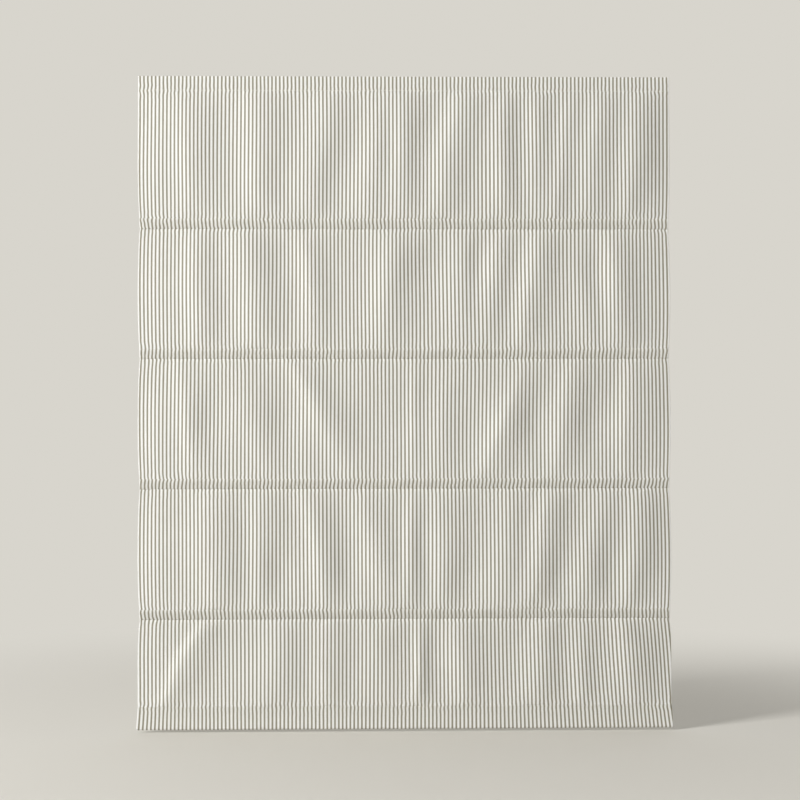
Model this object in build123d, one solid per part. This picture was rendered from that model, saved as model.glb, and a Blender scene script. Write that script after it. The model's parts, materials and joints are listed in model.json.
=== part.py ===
"""Cordless roman blind, fully lowered: a cloth on a sprung headrail, with rods, rings and a hem bar.

Millimetres, +Z up, +X to the right as seen from the front, which faces -Y.
The origin is the middle of the plane that the brackets are screwed to.
"""
import os
from math import atan2, degrees, hypot, sqrt

from build123d import *

# Whole blind
BLIND_WIDTH = 1200.0
BLIND_DROP = 1470.0
FABRIC_TOP_GAP = 2.0
CUT_OVERRUN = 5.0
RUNNING_CLEARANCE = 0.1
LOOSE_CLEARANCE = 0.3

# Face fabric
FABRIC_THICKNESS = 0.9
HEADER_HEIGHT = 30.0
FIRST_ROD_DROP = 333.0
LAST_ROD_RISE = 259.0
ROD_COUNT = 4
POCKET_HEIGHT = 23.0
CREST_FORWARD = 7.0
PANEL_BELLY = 2.5
FOLD_RADIUS = 4.0
BELLY_RADIUS = 1500.0
HEADER_RADIUS = 300.0
HEM_FORWARD = 5.0
HEM_LAP = 5.0
HEM_TAPER = 8.0
HEM_SPARE = 8.0
SIDE_HEM_WIDTH = 30.0
SIDE_PULL = 4.0
HEADER_PULL = 1.0
HEM_FLARE = 3.0
SEAM_BITE_SHARE = 0.9

# Headrail channel
HEADRAIL_WALL = 1.4
HEADRAIL_INSET = 5.0
LIP_WIDTH = 6.0
HEADRAIL_CORNER = 1.2
TAPE_LEDGE_DEPTH = 0.8
TAPE_LEDGE_HEIGHT = 1.2
FLOOR_RAIL_HEIGHT = 1.6
FLOOR_RAIL_WIDTH = 1.2
FLOOR_RAIL_INSET = 1.2

# Hook and loop tapes
TAPE_THICKNESS = 1.2
TAPE_HEIGHT = 25.0
TAPE_END_GAP = 12.0

# Mounting brackets
BRACKET_THICKNESS = 1.6
BRACKET_WIDTH = 30.0
BRACKET_END_INSET = 60.0
MIDDLE_BRACKET_OFFSET = 110.0
BRACKET_OVERLAP = 4.0
BRACKET_HOLE_RADIUS = 2.3
BRACKET_HOLE_SPACING = 21.0
BRACKET_CORNER = 3.0
LIP_PLAY = 0.2

# End caps
CAP_THICKNESS = 2.5
CAP_PLUG_LENGTH = 12.0
CAP_PLUG_WALL = 1.6
CAP_PLUG_CLEARANCE = 0.15
CAP_CORNER = 2.0
CAP_BOSS_RADIUS = 5.0
CAP_RIB_THICKNESS = 1.6

# Drive shaft
SHAFT_ACROSS_FLATS = 6.0
JOURNAL_RADIUS = 2.6
SHAFT_END_GAP = 0.5

# Cord spools and their cradles
CORD_END_INSET = 142.0
SPOOL_RADIUS = 10.0
SPOOL_RAMP_RISE = 1.6
SPOOL_RAMP_LENGTH = 6.0
SPOOL_BARREL_LENGTH = 32.0
SPOOL_FLANGE_RADIUS = 13.0
SPOOL_FLANGE_THICKNESS = 1.8
SPOOL_JOURNAL_RADIUS = 6.0
SPOOL_JOURNAL_LENGTH = 5.0
SPOOL_BORE_CLEARANCE = 0.1
SPOOL_FLOOR_ROOM = 0.8
SPOOL_TOP_ROOM = 3.4
CRADLE_BASE_THICKNESS = 2.0
CRADLE_UPRIGHT_THICKNESS = 3.0
CRADLE_UPRIGHT_WIDTH = 18.0
CRADLE_SIDE_PLAY = 0.5
CRADLE_MOUTH_SHARE = 0.88
CRADLE_RISE = 5.0
GUIDE_LENGTH = 9.0
GUIDE_DEPTH = 6.5
GUIDE_DROP = 3.0
GUIDE_BORE_RADIUS = 1.5
GUIDE_SLOT_CLEARANCE = 0.3

# Spring motor
MOTOR_OFFSET = 215.0
MOTOR_LENGTH = 40.0
MOTOR_WALL = 1.4
MOTOR_BACK_PLAY = 0.2
MOTOR_FOOT_WIDTH = 4.0
MOTOR_COVER_THICKNESS = 1.4
MOTOR_COVER_RIM = 2.5
MOTOR_FIT = 0.15
DRUM_GAP = 1.4
DRUM_ROOM = 0.6
DRUM_SIDE_PLAY = 0.4
OUTPUT_CORE_RADIUS = 5.2
OUTPUT_FLANGE_RADIUS = 7.8
STORAGE_CORE_RADIUS = 4.2
STORAGE_FLANGE_RADIUS = 7.2
STORAGE_PIN_RADIUS = 2.5
DRUM_FLANGE_THICKNESS = 1.4
SPRING_THICKNESS = 0.25
SPRING_OUTPUT_BUILD = 1.6
SPRING_STORAGE_BUILD = 0.8
SPRING_SEAT_GAP = 0.1
SPRING_EDGE_GAP = 0.5

# Rods, tips, pocket tapes and rings
ROD_RADIUS = 2.5
ROD_END_GAP = 10.0
TIP_RADIUS = 3.2
TIP_LENGTH = 14.0
TIP_SOCKET_DEPTH = 10.0
TIP_CHAMFER = 1.2
POCKET_CLEARANCE = 0.3
POCKET_TAPE_THICKNESS = 0.6
POCKET_TAPE_END_GAP = 1.0
POCKET_FLANGE = 4.0
POCKET_FLANGE_INSET = 1.5
POCKET_SHOULDER = 2.0
POCKET_FOLD_RADIUS = 1.5
RING_RADIUS = 5.0
RING_WIRE_RADIUS = 1.0
RING_SIDES = 8
RING_SEAT_GAP = 0.2

# Lift cords
CORD_RADIUS = 0.8

# Hem bar, its end caps and the cord anchors
BAR_HEIGHT = 30.0
BAR_THICKNESS = 4.0
BAR_EDGE_RADIUS = 1.6
BAR_END_GAP = 20.0
BAR_CAP_WALL = 0.8
BAR_CAP_LENGTH = 16.0
BAR_CAP_SOCKET = 14.0
HEM_CLEARANCE = 0.4
ANCHOR_WIDTH = 16.0
ANCHOR_HEIGHT = 18.0
ANCHOR_BACK_WALL = 4.0
ANCHOR_ROUNDING = 2.0
ANCHOR_SEAT_GAP = 0.3
ANCHOR_PEG_RADIUS = 2.0
ANCHOR_PEG_DEPTH = 2.5
ANCHOR_BORE_RADIUS = 1.1
ANCHOR_FLOOR = 2.0


class SlopedLine:
    """A line in the YZ plane from its head to its foot, with places given along it and behind it."""

    def __init__(self, head, foot):
        self.head = head
        self.length = hypot(foot[0] - head[0], foot[1] - head[1])
        self.along = ((foot[0] - head[0]) / self.length, (foot[1] - head[1]) / self.length)
        self.behind = (-self.along[1], self.along[0])

    def at(self, down, back):
        y = self.head[0] + self.along[0] * down + self.behind[0] * back
        z = self.head[1] + self.along[1] * down + self.behind[1] * back
        return (y, z)


def pocket_line(header_y, row_z):
    """The leaning band of cloth over one rod, from its upper stitch row to its lower one."""
    upper = (header_y - CREST_FORWARD, row_z + POCKET_HEIGHT / 2)
    lower = (header_y, row_z - POCKET_HEIGHT / 2)
    return SlopedLine(upper, lower)


# Depths counted back from the middle of the cloth at a pocket: rod, tape round it, ring behind it
ROD_BACK = FABRIC_THICKNESS / 2 + POCKET_CLEARANCE + TIP_RADIUS
TAPE_BACK = ROD_BACK + TIP_RADIUS + POCKET_CLEARANCE + POCKET_TAPE_THICKNESS / 2
RING_BACK = TAPE_BACK + POCKET_TAPE_THICKNESS / 2 + RING_SEAT_GAP + RING_WIRE_RADIUS

# Depth of the headrail: from its front face to the cords, the shaft, the storage drum and the back wall
HEADER_STANDOFF = 2 * TAPE_THICKNESS + FABRIC_THICKNESS / 2
FIRST_POCKET = pocket_line(-HEADER_STANDOFF, 0)
CORD_SETBACK = FIRST_POCKET.at(FIRST_POCKET.length / 2, RING_BACK)[0] + RING_RADIUS
SHAFT_SETBACK = CORD_SETBACK + CORD_RADIUS + LOOSE_CLEARANCE + SPOOL_RADIUS
DRUM_SPACING = OUTPUT_FLANGE_RADIUS + DRUM_GAP + STORAGE_FLANGE_RADIUS
MOTOR_BACK_SETBACK = SHAFT_SETBACK + DRUM_SPACING + STORAGE_FLANGE_RADIUS + DRUM_ROOM + MOTOR_WALL
HEADRAIL_DEPTH = MOTOR_BACK_SETBACK + MOTOR_BACK_PLAY + HEADRAIL_WALL

# Height of the headrail: cradle base, spool and the space above it for the bracket's feet
SHAFT_HEIGHT = CRADLE_BASE_THICKNESS + SPOOL_FLOOR_ROOM + SPOOL_FLANGE_RADIUS
HEADRAIL_HEIGHT = 2 * HEADRAIL_WALL + SHAFT_HEIGHT + SPOOL_FLANGE_RADIUS + SPOOL_TOP_ROOM

# Places along Y
FRONT_FACE = -HEADRAIL_DEPTH / 2
HEADER_Y = FRONT_FACE - HEADER_STANDOFF
CORD_Y = FRONT_FACE + CORD_SETBACK
SHAFT_Y = FRONT_FACE + SHAFT_SETBACK
STORAGE_Y = SHAFT_Y + DRUM_SPACING
MOTOR_FRONT = SHAFT_Y - OUTPUT_FLANGE_RADIUS - DRUM_ROOM - MOTOR_WALL
MOTOR_BACK = FRONT_FACE + MOTOR_BACK_SETBACK
INNER_HALF_DEPTH = HEADRAIL_DEPTH / 2 - HEADRAIL_WALL
LIP_EDGE = INNER_HALF_DEPTH - LIP_WIDTH
FLOOR_RAIL_Y = INNER_HALF_DEPTH - FLOOR_RAIL_INSET - FLOOR_RAIL_WIDTH / 2
CRADLE_DEPTH = 2 * (FLOOR_RAIL_Y - FLOOR_RAIL_WIDTH / 2 - LOOSE_CLEARANCE)

# Places along Z
HEADRAIL_TOP = -BRACKET_THICKNESS
HEADRAIL_FLOOR = HEADRAIL_TOP - HEADRAIL_HEIGHT + HEADRAIL_WALL
SHAFT_Z = HEADRAIL_FLOOR + SHAFT_HEIGHT
FABRIC_TOP = -FABRIC_TOP_GAP
HEADER_FOOT = FABRIC_TOP - HEADER_HEIGHT
TAPE_MIDDLE = FABRIC_TOP - HEADER_HEIGHT / 2
FIRST_ROW = FABRIC_TOP - FIRST_ROD_DROP
LAST_ROW = -BLIND_DROP + LAST_ROD_RISE
ROD_PITCH = (FIRST_ROW - LAST_ROW) / (ROD_COUNT - 1)
ROD_ROWS = [FIRST_ROW - ROD_PITCH * row for row in range(ROD_COUNT)]
POCKETS = [pocket_line(HEADER_Y, row_z) for row_z in ROD_ROWS]

# Places along X
HEADRAIL_LENGTH = BLIND_WIDTH - 2 * (HEADRAIL_INSET + CAP_THICKNESS)
CORD_STATION = HEADRAIL_LENGTH / 2 - CORD_END_INSET
CORD_XS = {"left": -CORD_STATION, "centre": 0.0, "right": CORD_STATION}
BRACKET_STATION = HEADRAIL_LENGTH / 2 - BRACKET_END_INSET
BRACKET_XS = {"left": -BRACKET_STATION, "middle": -MIDDLE_BRACKET_OFFSET, "right": BRACKET_STATION}
SPOOL_LENGTH = SPOOL_BARREL_LENGTH + 2 * SPOOL_FLANGE_THICKNESS
SHAFT_LENGTH = HEADRAIL_LENGTH - 2 * SHAFT_END_GAP
JOURNAL_LENGTH = CAP_PLUG_LENGTH
DRUM_LENGTH = MOTOR_LENGTH - 2 * (MOTOR_WALL + DRUM_SIDE_PLAY)
TAPE_HALF = BLIND_WIDTH / 2 - SIDE_HEM_WIDTH - POCKET_TAPE_END_GAP
ROD_LENGTH = 2 * (TAPE_HALF - ROD_END_GAP)
BAR_LENGTH = BLIND_WIDTH - 2 * BAR_END_GAP

# Hem and the bar in it
BAR_CAP_THICKNESS = BAR_THICKNESS + 2 * BAR_CAP_WALL
BAR_CAP_HEIGHT = BAR_HEIGHT + 2 * BAR_CAP_WALL
HEM_HEIGHT = HEM_LAP + HEM_TAPER + HEM_SPARE + BAR_CAP_HEIGHT + HEM_CLEARANCE + FABRIC_THICKNESS / 2
HEM_TOP = -BLIND_DROP + FABRIC_THICKNESS / 2 + HEM_HEIGHT
HEM = SlopedLine((HEADER_Y - HEM_FORWARD, HEM_TOP), (HEADER_Y, HEM_TOP - HEM_HEIGHT))
HEM_BACK = FABRIC_THICKNESS + BAR_CAP_THICKNESS + 2 * HEM_CLEARANCE
BAR_DOWN = HEM.length - FABRIC_THICKNESS / 2 - HEM_CLEARANCE - BAR_CAP_HEIGHT / 2
ANCHOR_FRONT = HEM_BACK + FABRIC_THICKNESS / 2 + ANCHOR_SEAT_GAP
ANCHOR_TOP = HEM.at(BAR_DOWN - ANCHOR_HEIGHT / 2, ANCHOR_FRONT)
ANCHOR_BOTTOM = HEM.at(BAR_DOWN + ANCHOR_HEIGHT / 2, ANCHOR_FRONT)
CORD_FOOT = ANCHOR_BOTTOM[1] + ANCHOR_FLOOR


def along_x(face, length, middle=0.0):
    """A section in the YZ plane drawn out along X, centred on the given place."""
    return Pos(middle, 0, 0) * extrude(Plane.YZ * face, amount=length / 2, both=True)


def x_cylinder(radius, length, x, y, z):
    return Pos(x, y, z) * Rot(0, 90, 0) * Cylinder(radius, length)


def cloth_strip(points, radii, thickness):
    """A closed section of even thickness about a line with rounded corners."""
    path = FilletPolyline(*points, radius=radii)
    return make_face(path.wire().offset_2d(thickness / 2, side=Side.BOTH, closed=True))


def square_section(clearance):
    side = SHAFT_ACROSS_FLATS + 2 * clearance
    return Pos(SHAFT_Y, SHAFT_Z) * Rectangle(side, side)


def write(name, shape):
    export_step(shape, f"parts/{name}.step")


# Face fabric
def panel_middle(head, foot):
    """The point where a hanging panel bellies out furthest."""
    return ((head[0] + foot[0]) / 2 - PANEL_BELLY, (head[1] + foot[1]) / 2)


def hanging_points():
    """Corners of the hanging cloth from the header's foot to the hem's stitch row, with their radii."""
    points = [(HEADER_Y, HEADER_FOOT)]
    radii = []
    for line in POCKETS:
        points += [panel_middle(points[-1], line.head), line.head, line.at(line.length, 0)]
        radii += [BELLY_RADIUS, FOLD_RADIUS, FOLD_RADIUS]
    points += [panel_middle(points[-1], HEM.head), HEM.head]
    radii += [BELLY_RADIUS]
    return points, radii


def front_outline():
    """The cloth's outline from the front, drawn in at the pockets and flared at the hem."""
    half = BLIND_WIDTH / 2
    rows = [HEADER_FOOT, *ROD_ROWS, HEM_TOP]
    pulls = [HEADER_PULL, *[SIDE_PULL] * ROD_COUNT, HEADER_PULL]
    edges = []
    for side in (1, -1):
        top = (side * (half - HEADER_PULL), FABRIC_TOP + CUT_OVERRUN)
        head = (side * (half - HEADER_PULL), HEADER_FOOT)
        edges.append(Line(top, head))
        for upper, lower, pull_up, pull_down in zip(rows, rows[1:], pulls, pulls[1:]):
            start = (side * (half - pull_up), upper)
            finish = (side * (half - pull_down), lower)
            edges.append(ThreePointArc(start, (side * half, (upper + lower) / 2), finish))
        foot = (side * (half + HEM_FLARE), -BLIND_DROP - CUT_OVERRUN)
        edges.append(Line(edges[-1] @ 1, foot))
    per_side = len(edges) // 2
    edges.append(Line(edges[0] @ 0, edges[per_side] @ 0))
    edges.append(Line(edges[per_side - 1] @ 1, edges[2 * per_side - 1] @ 1))
    depth = HEADRAIL_DEPTH + CREST_FORWARD + PANEL_BELLY
    return extrude(Plane.XZ * make_face(edges), amount=depth, both=True)


def peg_plane(x, back):
    """A plane on the hem at a cord anchor, facing straight back out of the hem."""
    y, z = HEM.at(BAR_DOWN, back)
    return Plane(origin=(x, y, z), x_dir=(1, 0, 0), z_dir=(0, *HEM.behind))


def face_fabric():
    """One cloth: header, panels, pocket bands and a hem turned up round the bar, with turned side hems."""
    points, radii = hanging_points()
    corner = HEM_BACK / 2 * SEAM_BITE_SHARE
    lap = FABRIC_THICKNESS * SEAM_BITE_SHARE
    turn_top = HEM_LAP + HEM_TAPER
    front = [(HEADER_Y, FABRIC_TOP), *points, HEM.at(HEM.length, 0), HEM.at(HEM.length, HEM_BACK)]
    front += [HEM.at(turn_top + HEM_TAPER, HEM_BACK)]
    sheet = cloth_strip(front, [HEADER_RADIUS, *radii, FOLD_RADIUS, corner, corner], FABRIC_THICKNESS)
    turn_up = [HEM.at(turn_top + 2 * HEM_TAPER, HEM_BACK), HEM.at(turn_top, HEM_BACK)]
    turn_up += [HEM.at(HEM_LAP, lap), HEM.at(FABRIC_THICKNESS, lap)]
    sheet += cloth_strip(turn_up, [FOLD_RADIUS, FOLD_RADIUS], FABRIC_THICKNESS)
    full = BLIND_WIDTH + 2 * (HEM_FLARE + CUT_OVERRUN)
    cloth = along_x(sheet, full)
    turned = cloth_strip([(y + lap, z) for y, z in points], radii, FABRIC_THICKNESS)
    margin = SIDE_HEM_WIDTH + HEM_FLARE + CUT_OVERRUN
    for side in (-1, 1):
        cloth += along_x(turned, margin, side * (full - margin) / 2)
    cloth &= front_outline()
    for x in CORD_XS.values():
        hole = Cylinder(ANCHOR_PEG_RADIUS + LOOSE_CLEARANCE, BAR_THICKNESS)
        cloth -= peg_plane(x, HEM_BACK) * hole
    return cloth


# Headrail, its ends, its brackets and the header tapes
def headrail():
    """Open-topped channel with inward lips, a tape ledge in front and cradle rails on its floor."""
    middle = HEADRAIL_TOP - HEADRAIL_HEIGHT / 2
    outer = fillet(Rectangle(HEADRAIL_DEPTH, HEADRAIL_HEIGHT).vertices(), HEADRAIL_CORNER)
    inner = Rectangle(2 * INNER_HALF_DEPTH, HEADRAIL_HEIGHT - 2 * HEADRAIL_WALL)
    mouth = Pos(0, HEADRAIL_HEIGHT / 2) * Rectangle(2 * LIP_EDGE, 2 * HEADRAIL_WALL + CUT_OVERRUN)
    section = Pos(0, middle) * (outer - inner - mouth)
    ledge_y = FRONT_FACE + (HEADRAIL_WALL - TAPE_LEDGE_DEPTH) / 2
    ledge_z = TAPE_MIDDLE - TAPE_HEIGHT / 2 - LOOSE_CLEARANCE - TAPE_LEDGE_HEIGHT / 2
    section += Pos(ledge_y, ledge_z) * Rectangle(HEADRAIL_WALL + TAPE_LEDGE_DEPTH, TAPE_LEDGE_HEIGHT)
    rail = Rectangle(FLOOR_RAIL_WIDTH, FLOOR_RAIL_HEIGHT + HEADRAIL_WALL)
    rail_z = HEADRAIL_FLOOR + (FLOOR_RAIL_HEIGHT - HEADRAIL_WALL) / 2
    for side in (-1, 1):
        section += Pos(side * FLOOR_RAIL_Y, rail_z) * rail
    channel = along_x(section, HEADRAIL_LENGTH)
    slot_length = GUIDE_LENGTH + 2 * GUIDE_SLOT_CLEARANCE
    slot_depth = GUIDE_DEPTH + 2 * GUIDE_SLOT_CLEARANCE
    for x in CORD_XS.values():
        slot = Box(slot_length, slot_depth, 2 * HEADRAIL_WALL + CUT_OVERRUN)
        channel -= Pos(x, CORD_Y, HEADRAIL_FLOOR) * slot
    return channel


def end_cap(side):
    """Moulded cap: outer plate, hollow plug in the channel and a ribbed boss for the shaft's end."""
    middle = HEADRAIL_TOP - HEADRAIL_HEIGHT / 2
    plate = fillet(Rectangle(HEADRAIL_DEPTH, HEADRAIL_HEIGHT).vertices(), CAP_CORNER)
    cap = along_x(Pos(0, middle) * plate, CAP_THICKNESS, side * (HEADRAIL_LENGTH + CAP_THICKNESS) / 2)
    plug_depth = 2 * (INNER_HALF_DEPTH - CAP_PLUG_CLEARANCE)
    rail_room = FLOOR_RAIL_HEIGHT + CAP_PLUG_CLEARANCE
    plug_height = HEADRAIL_HEIGHT - 2 * HEADRAIL_WALL - rail_room - CAP_PLUG_CLEARANCE
    plug_z = HEADRAIL_FLOOR + rail_room + plug_height / 2
    plug = Rectangle(plug_depth, plug_height)
    plug -= Rectangle(plug_depth - 2 * CAP_PLUG_WALL, plug_height - 2 * CAP_PLUG_WALL)
    plug = Pos(0, plug_z) * plug
    plug += Pos(SHAFT_Y, SHAFT_Z) * Circle(CAP_BOSS_RADIUS)
    plug += Pos(0, SHAFT_Z) * Rectangle(plug_depth, CAP_RIB_THICKNESS)
    plug += Pos(SHAFT_Y, plug_z) * Rectangle(CAP_RIB_THICKNESS, plug_height)
    plug_x = side * (HEADRAIL_LENGTH - CAP_PLUG_LENGTH) / 2
    cap += along_x(plug, CAP_PLUG_LENGTH, plug_x)
    return cap - x_cylinder(JOURNAL_RADIUS + RUNNING_CLEARANCE, CAP_PLUG_LENGTH, plug_x, SHAFT_Y, SHAFT_Z)


def bracket(x):
    """Folded steel bracket: a screwed plate over the channel's lips, with a hooked leg under each lip."""
    reach = LIP_EDGE + BRACKET_OVERLAP
    leg_drop = 2 * BRACKET_THICKNESS + HEADRAIL_WALL + LIP_PLAY
    leg_y = LIP_EDGE - LOOSE_CLEARANCE - BRACKET_THICKNESS / 2
    foot_length = reach - leg_y
    section = Pos(0, -BRACKET_THICKNESS / 2) * Rectangle(2 * reach, BRACKET_THICKNESS)
    for side in (-1, 1):
        section += Pos(side * leg_y, -leg_drop / 2) * Rectangle(BRACKET_THICKNESS, leg_drop)
        foot_place = Pos(side * (leg_y + foot_length / 2), BRACKET_THICKNESS / 2 - leg_drop)
        section += foot_place * Rectangle(foot_length, BRACKET_THICKNESS)
    plan = fillet(Rectangle(BRACKET_WIDTH, 2 * reach).vertices(), BRACKET_CORNER)
    body = along_x(section, BRACKET_WIDTH) & extrude(plan, amount=leg_drop + CUT_OVERRUN, both=True)
    for side in (-1, 1):
        hole = Cylinder(BRACKET_HOLE_RADIUS, 2 * BRACKET_THICKNESS + CUT_OVERRUN)
        body -= Pos(0, side * BRACKET_HOLE_SPACING / 2, 0) * hole
    return Pos(x, 0, 0) * body


def header_tape(layer):
    """One half of the hook and loop fastening, layer 0 on the headrail and layer 1 on the cloth."""
    y = FRONT_FACE - TAPE_THICKNESS * (2 * layer + 1) / 2
    return Pos(0, y, TAPE_MIDDLE) * Box(HEADRAIL_LENGTH - 2 * TAPE_END_GAP, TAPE_THICKNESS, TAPE_HEIGHT)


# Lift drive in the headrail
def drive_shaft():
    """Square shaft with a turned journal at each end."""
    shaft = along_x(square_section(0), SHAFT_LENGTH - 2 * JOURNAL_LENGTH)
    return shaft + x_cylinder(JOURNAL_RADIUS, SHAFT_LENGTH, 0, SHAFT_Y, SHAFT_Z)


def cord_spool(x):
    """Turned spool: journals, flanges, and a barrel with a ramp that pushes the turns along."""
    half = SPOOL_BARREL_LENGTH / 2
    end = half + SPOOL_FLANGE_THICKNESS
    tip = end + SPOOL_JOURNAL_LENGTH
    outline = [(-tip, 0), (-tip, SPOOL_JOURNAL_RADIUS), (-end, SPOOL_JOURNAL_RADIUS)]
    outline += [(-end, SPOOL_FLANGE_RADIUS), (-half, SPOOL_FLANGE_RADIUS)]
    outline += [(-half, SPOOL_RADIUS), (half - SPOOL_RAMP_LENGTH, SPOOL_RADIUS)]
    outline += [(half, SPOOL_RADIUS + SPOOL_RAMP_RISE), (half, SPOOL_FLANGE_RADIUS)]
    outline += [(end, SPOOL_FLANGE_RADIUS), (end, SPOOL_JOURNAL_RADIUS)]
    outline += [(tip, SPOOL_JOURNAL_RADIUS), (tip, 0)]
    turned = revolve(make_face(Polyline(*outline, close=True)), Axis.X)
    bore = along_x(square_section(SPOOL_BORE_CLEARANCE), 2 * tip + CUT_OVERRUN, x)
    return Pos(x, SHAFT_Y, SHAFT_Z) * turned - bore


def spool_cradle(x):
    """Moulded cradle: base on the channel floor, two snap-in bearings and a cord guide through the floor."""
    upright_x = SPOOL_LENGTH / 2 + CRADLE_SIDE_PLAY + CRADLE_UPRIGHT_THICKNESS / 2
    length = 2 * upright_x + CRADLE_UPRIGHT_THICKNESS
    base_top = HEADRAIL_FLOOR + CRADLE_BASE_THICKNESS
    base = Box(length, CRADLE_DEPTH, CRADLE_BASE_THICKNESS)
    cradle = Pos(x, 0, HEADRAIL_FLOOR + CRADLE_BASE_THICKNESS / 2) * base
    bearing = SPOOL_JOURNAL_RADIUS + RUNNING_CLEARANCE
    front = SHAFT_Y - CRADLE_UPRIGHT_WIDTH / 2
    back = SHAFT_Y + CRADLE_UPRIGHT_WIDTH / 2
    top = SHAFT_Z + CRADLE_RISE
    reach = CRADLE_DEPTH / 2
    outline = [(-reach, HEADRAIL_FLOOR), (-reach, base_top), (front, SHAFT_Z), (front, top)]
    outline += [(back, top), (back, SHAFT_Z), (reach, base_top), (reach, HEADRAIL_FLOOR)]
    wall = make_face(Polyline(*outline, close=True))
    wall -= Pos(SHAFT_Y, SHAFT_Z) * Circle(bearing)
    wall -= Pos(SHAFT_Y, SHAFT_Z + bearing) * Rectangle(2 * bearing * CRADLE_MOUTH_SHARE, 2 * bearing)
    for side in (-1, 1):
        cradle += along_x(wall, CRADLE_UPRIGHT_THICKNESS, x + side * upright_x)
    drop = HEADRAIL_WALL + GUIDE_DROP
    cradle += Pos(x, CORD_Y, HEADRAIL_FLOOR - drop / 2) * Box(GUIDE_LENGTH, GUIDE_DEPTH, drop)
    bore = Cylinder(GUIDE_BORE_RADIUS, 2 * (drop + CRADLE_BASE_THICKNESS) + CUT_OVERRUN)
    return cradle - Pos(x, CORD_Y, HEADRAIL_FLOOR) * bore


# Spring motor
MOTOR_BOTTOM = HEADRAIL_FLOOR + FLOOR_RAIL_HEIGHT
MOTOR_TOP = SHAFT_Z + OUTPUT_FLANGE_RADIUS + DRUM_ROOM + MOTOR_COVER_RIM
MOTOR_DEPTH = MOTOR_BACK - MOTOR_FRONT
MOTOR_Y = (MOTOR_FRONT + MOTOR_BACK) / 2


def motor_case():
    """Open-topped tray: slotted bearings for both drums in its end walls, a foot on the channel floor."""
    height = MOTOR_TOP - MOTOR_BOTTOM
    case = Pos(0, MOTOR_Y, MOTOR_BOTTOM + height / 2) * Box(MOTOR_LENGTH, MOTOR_DEPTH, height)
    cavity = Box(MOTOR_LENGTH - 2 * MOTOR_WALL, MOTOR_DEPTH - 2 * MOTOR_WALL, height)
    case -= Pos(0, MOTOR_Y, MOTOR_BOTTOM + MOTOR_WALL + height / 2) * cavity
    foot = Box(MOTOR_LENGTH, MOTOR_FOOT_WIDTH, FLOOR_RAIL_HEIGHT)
    case += Pos(0, MOTOR_FRONT + MOTOR_FOOT_WIDTH / 2, HEADRAIL_FLOOR + FLOOR_RAIL_HEIGHT / 2) * foot
    for y, radius in ((SHAFT_Y, OUTPUT_CORE_RADIUS), (STORAGE_Y, STORAGE_PIN_RADIUS)):
        bearing = radius + RUNNING_CLEARANCE
        slot = Pos(y, SHAFT_Z) * Circle(bearing)
        slot += Pos(y, SHAFT_Z + height / 2) * Rectangle(2 * bearing, height)
        case -= along_x(slot, MOTOR_LENGTH + CUT_OVERRUN)
    return Pos(MOTOR_OFFSET, 0, 0) * case


def motor_cover():
    """Flat lid with a rim that drops inside the tray."""
    lid = Box(MOTOR_LENGTH, MOTOR_DEPTH, MOTOR_COVER_THICKNESS)
    cover = Pos(MOTOR_OFFSET, MOTOR_Y, MOTOR_TOP + MOTOR_COVER_THICKNESS / 2) * lid
    inset = MOTOR_WALL + MOTOR_FIT
    rim_length = MOTOR_LENGTH - 2 * inset
    rim_depth = MOTOR_DEPTH - 2 * inset
    rim = Rectangle(rim_length, rim_depth)
    rim -= Rectangle(rim_length - 2 * MOTOR_WALL, rim_depth - 2 * MOTOR_WALL)
    rim_place = Pos(MOTOR_OFFSET, MOTOR_Y, MOTOR_TOP - MOTOR_COVER_RIM)
    return cover + rim_place * extrude(rim, amount=MOTOR_COVER_RIM)


def drum(y, core, flange, journal):
    """A flanged drum for the spring ribbon, with a journal through each wall of the tray."""
    body = x_cylinder(core, DRUM_LENGTH, MOTOR_OFFSET, y, SHAFT_Z)
    body += x_cylinder(journal, MOTOR_LENGTH, MOTOR_OFFSET, y, SHAFT_Z)
    for side in (-1, 1):
        flange_x = MOTOR_OFFSET + side * (DRUM_LENGTH - DRUM_FLANGE_THICKNESS) / 2
        body += x_cylinder(flange, DRUM_FLANGE_THICKNESS, flange_x, y, SHAFT_Z)
    return body


def output_drum():
    body = drum(SHAFT_Y, OUTPUT_CORE_RADIUS, OUTPUT_FLANGE_RADIUS, OUTPUT_CORE_RADIUS)
    return body - along_x(square_section(SPOOL_BORE_CLEARANCE), MOTOR_LENGTH + CUT_OVERRUN, MOTOR_OFFSET)


def spring_ribbon():
    """Steel ribbon, mostly on the output drum, crossing over to a few turns on the storage drum."""
    rings = [(SHAFT_Y, OUTPUT_CORE_RADIUS, SPRING_OUTPUT_BUILD)]
    rings += [(STORAGE_Y, STORAGE_CORE_RADIUS, SPRING_STORAGE_BUILD)]
    section = Sketch()
    middles = []
    for y, core, build in rings:
        inner = core + SPRING_SEAT_GAP
        section += Pos(y, SHAFT_Z) * (Circle(inner + build) - Circle(inner))
        middles.append(inner + build - SPRING_THICKNESS / 2)
    level = sum(middles) / DRUM_SPACING
    rise = sqrt(1 - level ** 2)
    start = (SHAFT_Y + middles[0] * level, SHAFT_Z + middles[0] * rise)
    finish = (STORAGE_Y - middles[1] * level, SHAFT_Z - middles[1] * rise)
    crossing = hypot(finish[0] - start[0], finish[1] - start[1])
    lean = degrees(atan2(finish[1] - start[1], finish[0] - start[0]))
    place = Pos((start[0] + finish[0]) / 2, (start[1] + finish[1]) / 2) * Rot(0, 0, lean)
    section += place * Rectangle(crossing, SPRING_THICKNESS)
    return along_x(section, DRUM_LENGTH - 2 * (DRUM_FLANGE_THICKNESS + SPRING_EDGE_GAP), MOTOR_OFFSET)


# Rods in their pockets, and the rings behind them
def rod(line):
    y, z = line.at(line.length / 2, ROD_BACK)
    return x_cylinder(ROD_RADIUS, ROD_LENGTH, 0, y, z)


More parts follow.
